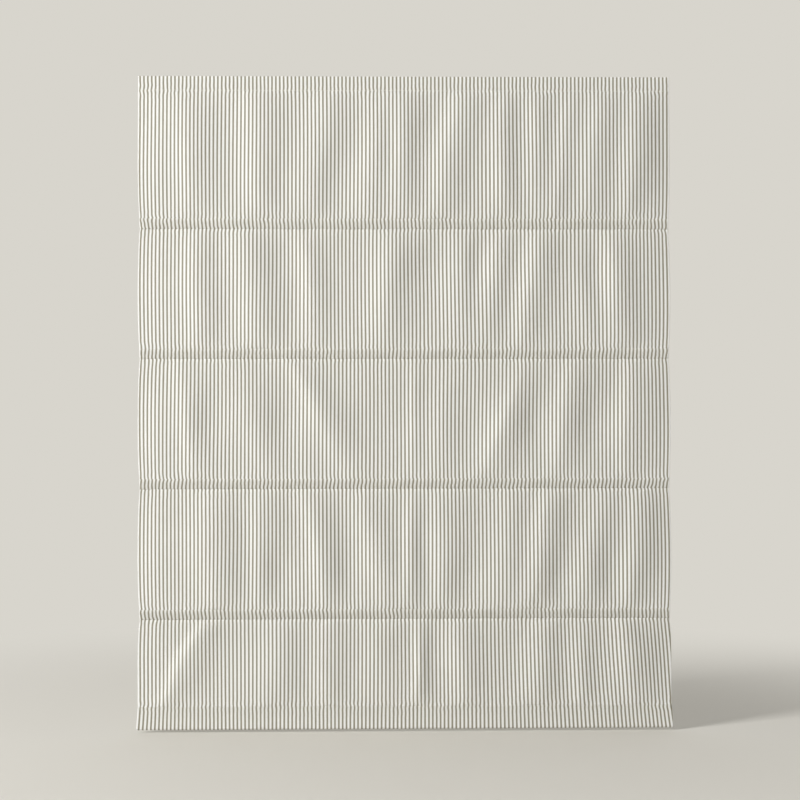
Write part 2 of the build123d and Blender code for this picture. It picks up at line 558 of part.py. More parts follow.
def rod_tips(line):
    """A chamfered socket on each end of the rod."""
    y, z = line.at(line.length / 2, ROD_BACK)
    tip = Pos(0, 0, TIP_LENGTH / 2) * Cylinder(TIP_RADIUS, TIP_LENGTH)
    tip = chamfer(tip.edges().group_by(Axis.Z)[-1], TIP_CHAMFER)
    tip -= Pos(0, 0, TIP_SOCKET_DEPTH / 2) * Cylinder(ROD_RADIUS, TIP_SOCKET_DEPTH)
    start = ROD_LENGTH / 2 - TIP_SOCKET_DEPTH
    return Compound([Pos(side * start, y, z) * Rot(0, side * 90, 0) * tip for side in (-1, 1)])


def pocket_tape(line):
    """Woven tape behind the band: a flange under each stitch row and a loop round the rod."""
    flat = (FABRIC_THICKNESS + POCKET_TAPE_THICKNESS) / 2
    flange_end = POCKET_FLANGE_INSET + POCKET_FLANGE
    shoulder = flange_end + POCKET_SHOULDER
    half = [(POCKET_FLANGE_INSET, flat), (flange_end, flat), (shoulder, TAPE_BACK)]
    points = [line.at(down, back) for down, back in half]
    points += [line.at(line.length - down, back) for down, back in reversed(half)]
    return along_x(cloth_strip(points, [POCKET_FOLD_RADIUS] * 4, POCKET_TAPE_THICKNESS), 2 * TAPE_HALF)


def cord_rings(line):
    """One moulded ring of chamfered section for each lift cord, lying level against the back of the tape."""
    y, z = line.at(line.length / 2, RING_BACK)
    wire = RegularPolygon(RING_WIRE_RADIUS, RING_SIDES, major_radius=False, rotation=180 / RING_SIDES)
    ring = revolve(Plane.XZ * Pos(RING_RADIUS, 0) * wire, Axis.Z)
    return Compound([Pos(x, y + RING_RADIUS, z) * ring for x in CORD_XS.values()])


def lift_cord(x):
    """Cord from its spool straight down through guide and rings to its anchor on the bar."""
    length = SHAFT_Z - CORD_FOOT - LOOSE_CLEARANCE
    return Pos(x, CORD_Y, SHAFT_Z - length / 2) * Cylinder(CORD_RADIUS, length)


# Hem bar, its end caps and the cord anchors
def hem_block(height, thickness, rounding):
    """A rounded section centred on the bar and leaning with the hem."""
    corners = []
    for down, back in ((-1, -1), (1, -1), (1, 1), (-1, 1)):
        corners.append(HEM.at(BAR_DOWN + down * height / 2, (HEM_BACK + back * thickness) / 2))
    block = make_face(Polyline(*corners, close=True))
    return fillet(block.vertices(), rounding)


def bottom_bar():
    """Flat rounded bar with a blind hole for each anchor's peg."""
    bar = along_x(hem_block(BAR_HEIGHT, BAR_THICKNESS, BAR_EDGE_RADIUS), BAR_LENGTH)
    hole_back = (HEM_BACK + BAR_THICKNESS) / 2
    for x in CORD_XS.values():
        hole = Cylinder(ANCHOR_PEG_RADIUS + RUNNING_CLEARANCE, 2 * ANCHOR_PEG_DEPTH)
        bar -= peg_plane(x, hole_back) * hole
    return bar


def bar_cap(side):
    """Slip-on cap over one end of the bar."""
    outer = hem_block(BAR_CAP_HEIGHT, BAR_CAP_THICKNESS, BAR_EDGE_RADIUS + BAR_CAP_WALL)
    cap_x = side * (BAR_LENGTH / 2 - BAR_CAP_SOCKET + BAR_CAP_LENGTH / 2)
    socket = hem_block(BAR_HEIGHT, BAR_THICKNESS, BAR_EDGE_RADIUS)
    return along_x(outer, BAR_CAP_LENGTH, cap_x) - along_x(socket, BAR_LENGTH)


def cord_anchor(x):
    """Moulded block behind the hem, pegged into the bar, with a blind bore that holds the cord's end."""
    back_y = CORD_Y + ANCHOR_BACK_WALL
    outline = [ANCHOR_TOP, ANCHOR_BOTTOM, (back_y, ANCHOR_BOTTOM[1]), (back_y, ANCHOR_TOP[1])]
    block = along_x(make_face(Polyline(*outline, close=True)), ANCHOR_WIDTH, x)
    back_edges = block.edges().filter_by(Axis.Z).group_by(Axis.Y)[-1]
    block = fillet(back_edges, ANCHOR_ROUNDING)
    peg_tip = (HEM_BACK + BAR_THICKNESS) / 2 - ANCHOR_PEG_DEPTH + RUNNING_CLEARANCE
    peg_length = ANCHOR_FRONT + ANCHOR_PEG_RADIUS - peg_tip
    block += peg_plane(x, peg_tip + peg_length / 2) * Cylinder(ANCHOR_PEG_RADIUS, peg_length)
    bore_length = ANCHOR_TOP[1] - CORD_FOOT + CUT_OVERRUN
    return block - Pos(x, CORD_Y, CORD_FOOT + bore_length / 2) * Cylinder(ANCHOR_BORE_RADIUS, bore_length)


os.makedirs("parts", exist_ok=True)
write("face_fabric", face_fabric())
write("headrail", headrail())
write("hook_tape", header_tape(0))
write("loop_tape", header_tape(1))
write("drive_shaft", drive_shaft())
write("motor_case", motor_case())
write("motor_cover", motor_cover())
write("output_drum", output_drum())
write("storage_drum", drum(STORAGE_Y, STORAGE_CORE_RADIUS, STORAGE_FLANGE_RADIUS, STORAGE_PIN_RADIUS))
write("spring_ribbon", spring_ribbon())
write("bottom_bar", bottom_bar())
write("cord_anchors", Compound([cord_anchor(x) for x in CORD_XS.values()]))
for end, side in (("left", -1), ("right", 1)):
    write(f"end_cap_{end}", end_cap(side))
    write(f"bar_cap_{end}", bar_cap(side))
for place, x in BRACKET_XS.items():
    write(f"mounting_bracket_{place}", bracket(x))
for place, x in CORD_XS.items():
    write(f"cord_spool_{place}", cord_spool(x))
    write(f"spool_cradle_{place}", spool_cradle(x))
    write(f"lift_cord_{place}", lift_cord(x))
for number, line in enumerate(POCKETS, 1):
    write(f"rod_{number}", rod(line))
    write(f"rod_tips_{number}", rod_tips(line))
    write(f"pocket_tape_{number}", pocket_tape(line))
    write(f"cord_rings_{number}", cord_rings(line))
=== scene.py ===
# %% [markdown]
# # A flat roman blind in ticking stripe
# The solids of the blind come in as a fixed frame: headrail, lift drive, rods, rings, cords and hem
# bar. This lesson dresses them. The cloth is rebuilt as draped sheets with sewn bands, every hard part
# gets a finish of its own, and the last cells add the floor, the light and the camera.

# %% Load the frame
import json
from bisect import bisect_right
from math import cos, degrees, exp, hypot, pi, radians, sin

import bmesh
import bpy
from mathutils import Matrix, Vector, noise


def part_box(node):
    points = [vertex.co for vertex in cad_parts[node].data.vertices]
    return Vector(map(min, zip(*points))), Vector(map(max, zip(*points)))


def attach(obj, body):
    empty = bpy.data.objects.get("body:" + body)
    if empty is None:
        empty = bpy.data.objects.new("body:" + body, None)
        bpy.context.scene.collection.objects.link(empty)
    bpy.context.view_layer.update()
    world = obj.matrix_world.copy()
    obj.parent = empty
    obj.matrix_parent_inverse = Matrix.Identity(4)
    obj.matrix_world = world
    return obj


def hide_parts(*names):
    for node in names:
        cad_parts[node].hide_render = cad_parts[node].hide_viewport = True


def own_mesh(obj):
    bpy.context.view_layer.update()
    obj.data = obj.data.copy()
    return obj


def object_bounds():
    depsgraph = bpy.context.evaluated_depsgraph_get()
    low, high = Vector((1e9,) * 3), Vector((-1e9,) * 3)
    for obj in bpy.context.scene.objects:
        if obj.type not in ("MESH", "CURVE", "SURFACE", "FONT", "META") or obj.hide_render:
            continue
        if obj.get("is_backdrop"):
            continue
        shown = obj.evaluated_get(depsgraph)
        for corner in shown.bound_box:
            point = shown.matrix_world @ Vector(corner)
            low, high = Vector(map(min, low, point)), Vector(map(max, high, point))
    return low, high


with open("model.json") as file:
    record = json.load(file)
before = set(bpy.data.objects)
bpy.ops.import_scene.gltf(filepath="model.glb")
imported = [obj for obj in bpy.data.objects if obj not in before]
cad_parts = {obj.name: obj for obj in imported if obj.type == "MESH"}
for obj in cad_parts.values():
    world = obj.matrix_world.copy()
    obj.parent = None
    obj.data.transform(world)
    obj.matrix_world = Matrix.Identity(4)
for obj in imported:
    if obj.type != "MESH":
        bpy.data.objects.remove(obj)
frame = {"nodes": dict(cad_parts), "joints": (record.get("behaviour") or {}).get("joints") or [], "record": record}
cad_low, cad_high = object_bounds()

# %% [markdown]
# ## Where the cloth is sewn
# A roman blind is ruled by its stitch rows: the header on the rail, one pocket band for each rod, and
# the hem. All of them are read from the frame, so the cloth always follows the rods and the bar that it
# hangs on.

# %% Stitch rows read from the frame
CLOTH = 0.0009
HALF_WIDTH = 0.6
POCKET_HEIGHT = 0.023
CREST_FORWARD = 0.007
ROD_BEHIND_CLOTH = 0.00395
HEADER_HEIGHT = 0.033
HEM_FORWARD = 0.005
HEM_STITCH_ABOVE_BAR = 0.03653
ROD_NUMBERS = (1, 2, 3, 4)


def middle(node):
    low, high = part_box(node)
    return (low + high) / 2


cloth_low, cloth_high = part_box("face_fabric")
header_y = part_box("loop_tape")[0].y - CLOTH / 2
band_slope = hypot(CREST_FORWARD, POCKET_HEIGHT)
rod_rise = ROD_BEHIND_CLOTH * CREST_FORWARD / band_slope
row_heights = [middle(f"rod_{number}").z - rod_rise for number in ROD_NUMBERS]
hem_stitch = Vector((header_y - HEM_FORWARD, middle("bottom_bar").z + HEM_STITCH_ABOVE_BAR))
print("rod rows at", [round(z, 4) for z in row_heights], "hem stitch at", round(hem_stitch.y, 4))

# %% [markdown]
# ## The side view of the cloth
# Seen from the side, the cloth is one long line: straight at the header, a slight belly in each panel,
# a roll back under each rod and a turn round the hem bar. A short formula draws each stretch, and a
# small class finds places along it by distance, which is also how the cloth is measured before it is
# sewn.

# %% A stretch of the cloth's line
class ClothLine:
    """A stretch of the cloth seen from the side: (y, z) places by distance from its upper end."""

    def __init__(self, points, start):
        self.points = [Vector(point) for point in points]
        self.marks = [0.0]
        for upper, lower in zip(self.points, self.points[1:]):
            self.marks.append(self.marks[-1] + (lower - upper).length)
        self.start = start
        self.length = self.marks[-1]

    def at(self, down):
        """The place at that distance, and the direction that the face of the cloth looks in there."""
        last = len(self.points) - 2
        index = min(max(bisect_right(self.marks, down) - 1, 0), last)
        upper, lower = self.points[index], self.points[index + 1]
        share = (down - self.marks[index]) / (self.marks[index + 1] - self.marks[index])
        run = (lower - upper).normalized()
        return upper.lerp(lower, share), Vector((run.y, -run.x))


SAMPLES = 240
PANEL_BELLY = 0.0008
SEAM_LIP = 0.0008
LIP_REACH = 0.0018
LIP_FADE = 0.045
CREST_SWELL = 0.0026
BAND_PUFF = 0.0014
PUFF_REACH = 0.0014
CREST_ROUND_SHARE = 0.4


def panel_points(upper, lower):
    """A hanging panel: it swells just under the seam above it and bellies towards its middle."""
    points = []
    for step in range(SAMPLES + 1):
        share = step / SAMPLES
        down = share * (upper.y - lower.y)
        lip = SEAM_LIP * (1 - exp(-down / LIP_REACH)) * exp(-down / LIP_FADE)
        belly = PANEL_BELLY * 4 * share * (1 - share)
        y = upper.x + (lower.x - upper.x) * share - belly - lip * (1 - share)
        points.append((y, upper.y - down))
    return points


def band_points(upper, lower):
    """A pocket band: it rounds its crest, leans back over the rod and drops the last bit into the seam."""
    points = []
    for step in range(SAMPLES + 1):
        share = step / SAMPLES
        rounded = min(share, CREST_ROUND_SHARE)
        roll = share - rounded + rounded ** 2 / (2 * CREST_ROUND_SHARE)
        roll /= 1 - CREST_ROUND_SHARE / 2
        puff = BAND_PUFF * (1 - exp((share - 1) * (upper.y - lower.y) / PUFF_REACH))
        y = upper.x + BAND_PUFF + (lower.x - upper.x - BAND_PUFF) * roll - puff
        points.append((y, upper.y + (lower.y - upper.y) * share))
    return points


loose_crest = Vector((-CREST_FORWARD - CREST_SWELL, POCKET_HEIGHT))
loose_band = ClothLine(band_points(loose_crest, Vector((0.0, 0.0))), 0.0)
print(f"a band takes {loose_band.length:.4f} m of cloth for {POCKET_HEIGHT} m of height")

# %% [markdown]
# The hem is the only stretch that turns back on itself. It goes down the front of the bar, round its
# lower edge, up the back and forward again to the stitch row, so it is drawn from straight runs and one
# half turn.

# %% The hem's turn round the bar
HEM_DEPTH = 0.0073
HEM_BOW = 0.0010
HEM_LAP = 0.005
HEM_TAPER = 0.008
LAP_BEHIND = 0.0011
TURN_STEPS = 24


def hem_points(upper, lower):
    """Front of the hem, the half turn under the bar, the back, and the lap behind the stitch row."""
    run = (lower - upper).normalized()
    back = Vector((-run.y, run.x))
    length = (lower - upper).length
    radius = HEM_DEPTH / 2
    points = []
    for step in range(SAMPLES + 1):
        share = step / SAMPLES
        points.append(upper + run * (length - radius) * share + back * HEM_BOW * 4 * share * (1 - share))
    centre = upper + run * (length - radius) + back * radius
    for step in range(1, TURN_STEPS + 1):
        angle = pi * step / TURN_STEPS
        points.append(centre - back * radius * cos(angle) + run * radius * sin(angle))
    corners = [(length - radius, HEM_DEPTH), (HEM_LAP + HEM_TAPER, HEM_DEPTH)]
    corners += [(HEM_LAP, LAP_BEHIND), (CLOTH, LAP_BEHIND)]
    for (down, depth), (next_down, next_depth) in zip(corners, corners[1:]):
        for step in range(1, TURN_STEPS + 1):
            share = step / TURN_STEPS
            across = depth + (next_depth - depth) * share
            points.append(upper + run * (down + (next_down - down) * share) + back * across)
    return points


print("the hem's half turn:", HEM_DEPTH, "m deep in", TURN_STEPS, "steps")


# %% All the stretches from top to bottom
def lay_out_cloth():
    """Every stretch of the cloth by name, each starting where the one above it ends."""
    top = Vector((header_y, cloth_high.z))
    foot = Vector((header_y, cloth_high.z - HEADER_HEIGHT))
    drawn = [("header", [top.lerp(foot, step / SAMPLES) for step in range(SAMPLES + 1)])]
    for number, row_z in zip(ROD_NUMBERS, row_heights):
        crest = Vector((header_y - CREST_FORWARD - CREST_SWELL, row_z + POCKET_HEIGHT / 2))
        seam = Vector((header_y, row_z - POCKET_HEIGHT / 2))
        drawn.append((f"panel_{number}", panel_points(foot, crest)))
        drawn.append((f"band_{number}", band_points(crest, seam)))
        foot = seam
    drawn.append((f"panel_{len(ROD_NUMBERS) + 1}", panel_points(foot, hem_stitch)))
    bottom = Vector((header_y, cloth_low.z + CLOTH / 2))
    drawn.append(("hem", hem_points(hem_stitch, bottom)))
    laid, start = {}, 0.0
    for name, points in drawn:
        laid[name] = ClothLine(points, start)
        start += laid[name].length
    return laid


lines = lay_out_cloth()
for name, line in lines.items():
    print(f"{name}: starts {line.start:.4f} m down the cloth, {line.length:.4f} m long")

# %% [markdown]
# ## How the cloth drapes
# Hung cotton is never flat. Soft ridges run down each panel, some upright and some slanting from one
# stitch row to the next, with shallow hollows between them. A ridge is written as where its crest
# starts and ends, how far it stands out, and how broadly it rises on its left and falls on its right.
# Such a list could come from a cloth simulation, but ridges placed one by one follow the real blind better.

# %% Soft ridges of the five panels
RIDGES = {
    "panel_1": [(-0.488, -0.480, 0.0068, 0.030, 0.060), (-0.336, -0.332, 0.0099, 0.042, 0.055),
                (-0.168, -0.210, 0.0072, 0.044, 0.036), (-0.050, -0.080, 0.0073, 0.037, 0.036),
                (-0.004, -0.003, 0.0097, 0.026, 0.034), (0.132, 0.080, 0.0107, 0.040, 0.057),
                (0.228, 0.220, 0.0086, 0.028, 0.033), (0.300, 0.296, 0.0072, 0.025, 0.044),
                (0.378, 0.340, 0.0065, 0.025, 0.040), (0.448, 0.415, 0.0076, 0.026, 0.036),
                (0.536, 0.506, 0.0073, 0.032, 0.040)],
    "panel_2": [(-0.464, -0.462, 0.0066, 0.028, 0.044), (-0.352, -0.332, 0.0101, 0.044, 0.050),
                (-0.224, -0.204, 0.0084, 0.028, 0.052), (-0.026, -0.048, 0.0102, 0.032, 0.040),
                (0.131, 0.128, 0.0058, 0.053, 0.036), (0.220, 0.176, 0.0064, 0.025, 0.032),
                (0.306, 0.264, 0.0096, 0.025, 0.044), (0.405, 0.420, 0.0042, 0.035, 0.036),
                (0.472, 0.484, 0.0086, 0.025, 0.048)],
    "panel_3": [(-0.494, -0.476, 0.0070, 0.023, 0.060), (-0.380, -0.300, 0.0047, 0.035, 0.052),
                (-0.254, -0.114, 0.0075, 0.028, 0.052), (0.018, 0.016, 0.0031, 0.014, 0.026),
                (0.110, 0.072, 0.0039, 0.030, 0.048), (0.280, 0.174, 0.0063, 0.030, 0.064),
                (0.380, 0.338, 0.0069, 0.028, 0.056), (0.506, 0.496, 0.0057, 0.023, 0.034)],
    "panel_4": [(-0.432, -0.428, 0.0100, 0.046, 0.059), (-0.331, -0.326, 0.0069, 0.026, 0.052),
                (-0.218, -0.172, 0.0084, 0.030, 0.052), (-0.094, -0.036, 0.0072, 0.030, 0.044),
                (0.014, 0.011, 0.0070, 0.021, 0.032), (0.080, 0.086, 0.0084, 0.023, 0.044),
                (0.238, 0.226, 0.0067, 0.039, 0.040), (0.334, 0.280, 0.0098, 0.025, 0.040),
                (0.452, 0.394, 0.0069, 0.030, 0.040), (0.535, 0.506, 0.0079, 0.030, 0.040)],
    "panel_5": [(-0.444, -0.548, 0.0078, 0.019, 0.048), (-0.282, -0.290, 0.0088, 0.053, 0.048),
                (-0.171, -0.172, 0.0088, 0.032, 0.040), (-0.060, -0.050, 0.0067, 0.039, 0.059),
                (0.030, 0.030, 0.0075, 0.018, 0.031), (0.118, 0.140, 0.0082, 0.032, 0.052),
                (0.314, 0.298, 0.0093, 0.035, 0.036), (0.400, 0.398, 0.0064, 0.030, 0.036),
                (0.494, 0.520, 0.0082, 0.030, 0.044)],
}
HOLLOWS = {
    "panel_2": [(0.070, 0.30, 0.0049, 0.060, 0.060), (0.170, 0.30, 0.0049, 0.030, 0.060),
                (0.430, 0.30, 0.0049, 0.034, 0.060), (-0.280, 0.30, 0.0043, 0.034, 0.060)],
    "panel_3": [(-0.440, 0.56, 0.0052, 0.036, 0.070), (-0.270, 0.56, 0.0049, 0.044, 0.070),
                (-0.050, 0.58, 0.0055, 0.110, 0.070), (0.150, 0.58, 0.0052, 0.060, 0.070),
                (0.290, 0.56, 0.0046, 0.034, 0.070), (0.420, 0.56, 0.0067, 0.052, 0.070)],
    "panel_4": [(-0.280, 0.76, 0.0046, 0.036, 0.060), (-0.130, 0.70, 0.0041, 0.030, 0.070),
                (0.130, 0.80, 0.0046, 0.040, 0.060), (0.345, 0.78, 0.0041, 0.030, 0.050),
                (0.460, 0.74, 0.0046, 0.030, 0.060)],
}
print("ridges:", sum(len(ridges) for ridges in RIDGES.values()),
      "hollows:", sum(len(hollows) for hollows in HOLLOWS.values()))

# %% How far a panel stands out
CREST_WOBBLE = 0.008
WOBBLE_WAVES = 2.2
WOBBLE_SPREAD = 40.0
WOBBLE_SEED = 3.3
TAPER_SHARE = 0.5
TAPER_WAVES = 1.6
TAPER_SPREAD = 17.0
TAPER_SEED = 9.1
SWELL = 0.0026
SWELL_PITCH = 0.085
SWELL_WAVES = 1.1
SWELL_SPREAD = 9.0
RIDGE_LEVEL = 0.0046
LEVEL_SHARE = 0.3
RIDGE_FADE_SHARE = 0.42
EDGE_CURL = 0.0032
EDGE_CURL_REACH = 0.055


def bell(offset, breadth):
    return exp(-(offset / breadth) ** 2)


def smooth_step(share):
    return share * share * (3 - 2 * share)


def ridge_depth(name, across, share):
    """How far a panel stands out towards the front at that place, fading out at its stitch rows."""
    if name not in RIDGES:
        return 0.0
    depth = 0.0
    for upper, lower, height, rise_breadth, fall_breadth in RIDGES[name]:
        wobble = noise.noise(Vector((share * WOBBLE_WAVES, upper * WOBBLE_SPREAD, WOBBLE_SEED)))
        change = noise.noise(Vector((upper * TAPER_SPREAD, share * TAPER_WAVES, TAPER_SEED)))
        taper = 1 + TAPER_SHARE * change
        offset = across - upper - (lower - upper) * share - CREST_WOBBLE * wobble
        depth += height * bell(offset, taper * (rise_breadth if offset < 0 else fall_breadth))
    for centre, level, hollow, breadth, reach in HOLLOWS.get(name, []):
        depth -= hollow * bell(across - centre, breadth) * bell((share - level) * lines[name].length, reach)
    swell = Vector((across / SWELL_PITCH, share * SWELL_WAVES, lines[name].start * SWELL_SPREAD))
    depth += SWELL * noise.noise(swell)
    depth -= RIDGE_LEVEL * min(1.0, share / LEVEL_SHARE)
    edge = max(0.0, 1 - (HALF_WIDTH - abs(across)) / EDGE_CURL_REACH)
    depth -= EDGE_CURL * smooth_step(edge)
    return depth * max(sin(pi * share), 0.0) ** RIDGE_FADE_SHARE


print("the middle panel stands out by", round(ridge_depth("panel_3", 0.0, 0.5), 4), "m at its centre")

# %% [markdown]
# Puckers are finer and less regular, so they come from smooth noise that has the same value in every
# run. They are strongest at a stitch row and die away above and below it, and they come in bursts with
# quiet stretches between.

# %% Puckers at the sewn rows
PUCKER_HEIGHT = 0.0015
PUCKER_PITCH = 0.0085
PUCKER_TALL = 4
PUCKER_SPREAD = 5.3
BURST_PITCH = 0.060
BURST_SPREAD = 3.7
BURST_SEED = 0.5
PUCKER_FADE = 0.012
EDGE_PUCKER_REACH = 0.070
EDGE_PUCKER_GAIN = 0.6
sewn_rows = [lines["panel_1"].start, lines["hem"].start]
for number in ROD_NUMBERS:
    sewn_rows += [lines[f"band_{number}"].start, lines[f"panel_{number + 1}"].start]
sewn_rows.sort()


def ripple(*place):
    """Smooth noise between 0 and 1."""
    return 0.5 + 0.5 * noise.noise(Vector(place))


def row_pull(down):
    """Nearest sewn row, and how strongly it gathers the cloth at that distance from the top."""
    row = min(range(len(sewn_rows)), key=lambda index: abs(sewn_rows[index] - down))
    return row, exp(-abs(sewn_rows[row] - down) / PUCKER_FADE)


def burst(across, row):
    """From 0 to 1 along a row: where the gathering is strong, more so towards the side edges."""
    slow = ripple(across / BURST_PITCH, row * BURST_SPREAD, BURST_SEED)
    edge = exp(-(HALF_WIDTH - min(abs(across), HALF_WIDTH)) / EDGE_PUCKER_REACH)
    return min(1.0, slow + EDGE_PUCKER_GAIN * edge)


def pucker_depth(across, down):
    row, pull = row_pull(down)
    fine = ripple(across / PUCKER_PITCH, row * PUCKER_SPREAD, down / (PUCKER_TALL * PUCKER_PITCH))
    return PUCKER_HEIGHT * pull * burst(across, row) * fine


print("sewn rows down the cloth:", [round(row, 3) for row in sewn_rows])

# %% [markdown]
# The stripes don't run quite straight either. At the sewn rows each one makes a small zigzag, across a
# band it slants where the seam dragged the cloth along, and in the panels it wanders slowly. Low down
# on the right the cloth hangs off the straight, so the stripes lean outwards. This sideways drift goes
# into the cloth's own map, which carries the stripe pattern.

# %% Sideways drift of the stripes
ZIGZAG = 0.0021
ZIGZAG_PITCH = 0.022
ZIGZAG_TALL = 0.6
ZIGZAG_SPREAD = 2.9
ZIGZAG_LEAST = 0.35
WANDER = 0.0022
WANDER_PITCH = 0.16
WANDER_TALL = 1.6
WANDER_SEED = 7.1
BAND_SKEWS = {"band_1": -0.0020, "band_2": 0.0010, "band_3": 0.0024, "band_4": -0.0018}
SKEW_LEAST = 0.4
LEAN = 0.016
LEAN_FROM = 0.05
LEAN_FULL = 0.55
LEAN_AT_HEM_SHARE = 0.75
HEM_FRONT_SHARE = 0.45


def stripe_drift(name, across, down, share):
    """How far the stripes are moved sideways at that place on a stretch."""
    row, pull = row_pull(down)
    gather = burst(across, row)
    zigzag = Vector((across / ZIGZAG_PITCH, down / (ZIGZAG_TALL * ZIGZAG_PITCH), row * ZIGZAG_SPREAD))
    wander = Vector((across / WANDER_PITCH, down / (WANDER_TALL * WANDER_PITCH), WANDER_SEED))
    drift = ZIGZAG * noise.noise(zigzag) * pull * (ZIGZAG_LEAST + gather)
    drift += WANDER * noise.noise(wander)
    if name in BAND_SKEWS:
        drift += BAND_SKEWS[name] * (0.5 - share) * (SKEW_LEAST + gather)
    if name in ("panel_5", "hem"):
        ramp = min(max((across - LEAN_FROM) / (LEAN_FULL - LEAN_FROM), 0.0), 1.0)
        reach = LEAN_AT_HEM_SHARE * share
        if name == "hem":
            reach = LEAN_AT_HEM_SHARE + (1 - LEAN_AT_HEM_SHARE) * min(1.0, share / HEM_FRONT_SHARE)
        drift += LEAN * smooth_step(ramp) * reach
    return drift


lean = stripe_drift("panel_5", HALF_WIDTH, lines["hem"].start, 1.0)
print("drift at the lower right corner of the last panel:", round(lean, 4))

# %% [markdown]
# ## From flat grid to hung cloth
# Each stretch starts as a flat grid. Its rows run down the stretch and its columns run across the
# blind, out past each side edge and back behind it, which makes the turned side hem. The grid is then
# moved onto the cloth's line, drawn in where the pockets gather it, given its map for the stripes and
# at last its thickness.

# %% Columns across the cloth
SIDE_HEM = 0.030
NARROW_SIDE_HEM = 0.013
COLUMN_WIDTH = 0.004
SIDE_FOLD_RADIUS = 0.00105
FOLD_COLUMNS = 6
SIDE_HEM_COLUMNS = 4


def side_hem(stretch):
    return NARROW_SIDE_HEM if stretch in ("header", "hem") else SIDE_HEM


def column_places(hem_width):
    """For every column from left to right: flat place, place across, place behind the face."""
    inner = HALF_WIDTH - SIDE_FOLD_RADIUS
    count = round(2 * inner / COLUMN_WIDTH)
    right = []
    for step in range(1, FOLD_COLUMNS + 1):
        angle = pi * step / FOLD_COLUMNS
        behind = SIDE_FOLD_RADIUS * (1 - cos(angle))
        right.append((inner + SIDE_FOLD_RADIUS * angle, inner + SIDE_FOLD_RADIUS * sin(angle), behind))
    turned = inner + SIDE_FOLD_RADIUS * pi
    for step in range(1, SIDE_HEM_COLUMNS + 1):
        run = (hem_width - SIDE_FOLD_RADIUS) * step / SIDE_HEM_COLUMNS
        right.append((turned + run, inner - run, 2 * SIDE_FOLD_RADIUS))
    left = [(-flat, -across, behind) for flat, across, behind in reversed(right)]
    face = []
    for step in range(count + 1):
        across = -inner + 2 * inner * step / count
        face.append((across, across, 0.0))
    return left + face + right


print("columns across a panel:", len(column_places(SIDE_HEM)))

# %% Pull of the pockets on the side edges
SIDE_PULL = 0.004
ROW_NIP = 0.0012
HEADER_PULL = 0.001
HEM_FLARE = 0.003
PULL_REACH = 0.060
NIP_FADE = 0.014


def edge_pull(name, down, share):
    """How far the side edges are drawn in at that distance from the top."""
    nip = ROW_NIP * exp(-min(abs(row - down) for row in sewn_rows[1:-1]) / NIP_FADE)
    if name == "header":
        return HEADER_PULL
    if name == "hem":
        flare = min(1.0, min(share, 1 - share) / HEM_FRONT_SHARE)
        return HEADER_PULL - (HEADER_PULL + HEM_FLARE) * flare
    if name.startswith("band"):
        return SIDE_PULL + nip
    upper = HEADER_PULL if name == "panel_1" else SIDE_PULL
    lower = HEADER_PULL if name == "panel_5" else SIDE_PULL
    bow = (2 * share - 1) ** 2
    return bow * (upper if share < 0.5 else lower) + nip


def drawn_in(across, pull):
    """The place across the blind once the edge pull has spread into the cloth."""
    reach = exp(-(HALF_WIDTH - min(abs(across), HALF_WIDTH)) / PULL_REACH)
    return across - pull * reach * (1 if across > 0 else -1)


first_pull = edge_pull("band_1", lines["band_1"].start, 0.0)
print("side edges drawn in at the first row:", round(first_pull, 4), "m")

# %% The place of any point of the cloth
HEM_TURNS_AT = -0.5


def face_point(name, across, down):
    """A point on the face of the cloth, and the direction that the face looks in there."""
    line = lines[name]
    share = down / line.length
    place, facing = line.at(down)
    depth = ridge_depth(name, across, share) + pucker_depth(across, line.start + down)
    if name == "hem" and facing.x > HEM_TURNS_AT:
        depth = 0.0
    x = drawn_in(across, edge_pull(name, line.start + down, share))
    face = place + facing * (CLOTH / 2)
    return Vector((x, face.x - depth, face.y)), Vector((0.0, facing.x, facing.y))


sample = face_point("panel_3", 0.0, lines["panel_3"].length / 2)[0]
print("face of the middle panel at its centre:", [round(value, 4) for value in sample])

# %% [markdown]
# ## Finishes made of nodes
# A finish is a Principled shader with a few textures in front of it. The small class below keeps the
# node work short: it lays a texture on the object's own coordinates or on its map, and turns it into
# colour, roughness or relief. What is the same all over a surface is set straight on the shader.

# %% A small kit for finishes
MIX_FIRST, MIX_SECOND, MIX_RESULT = 6, 7, 2


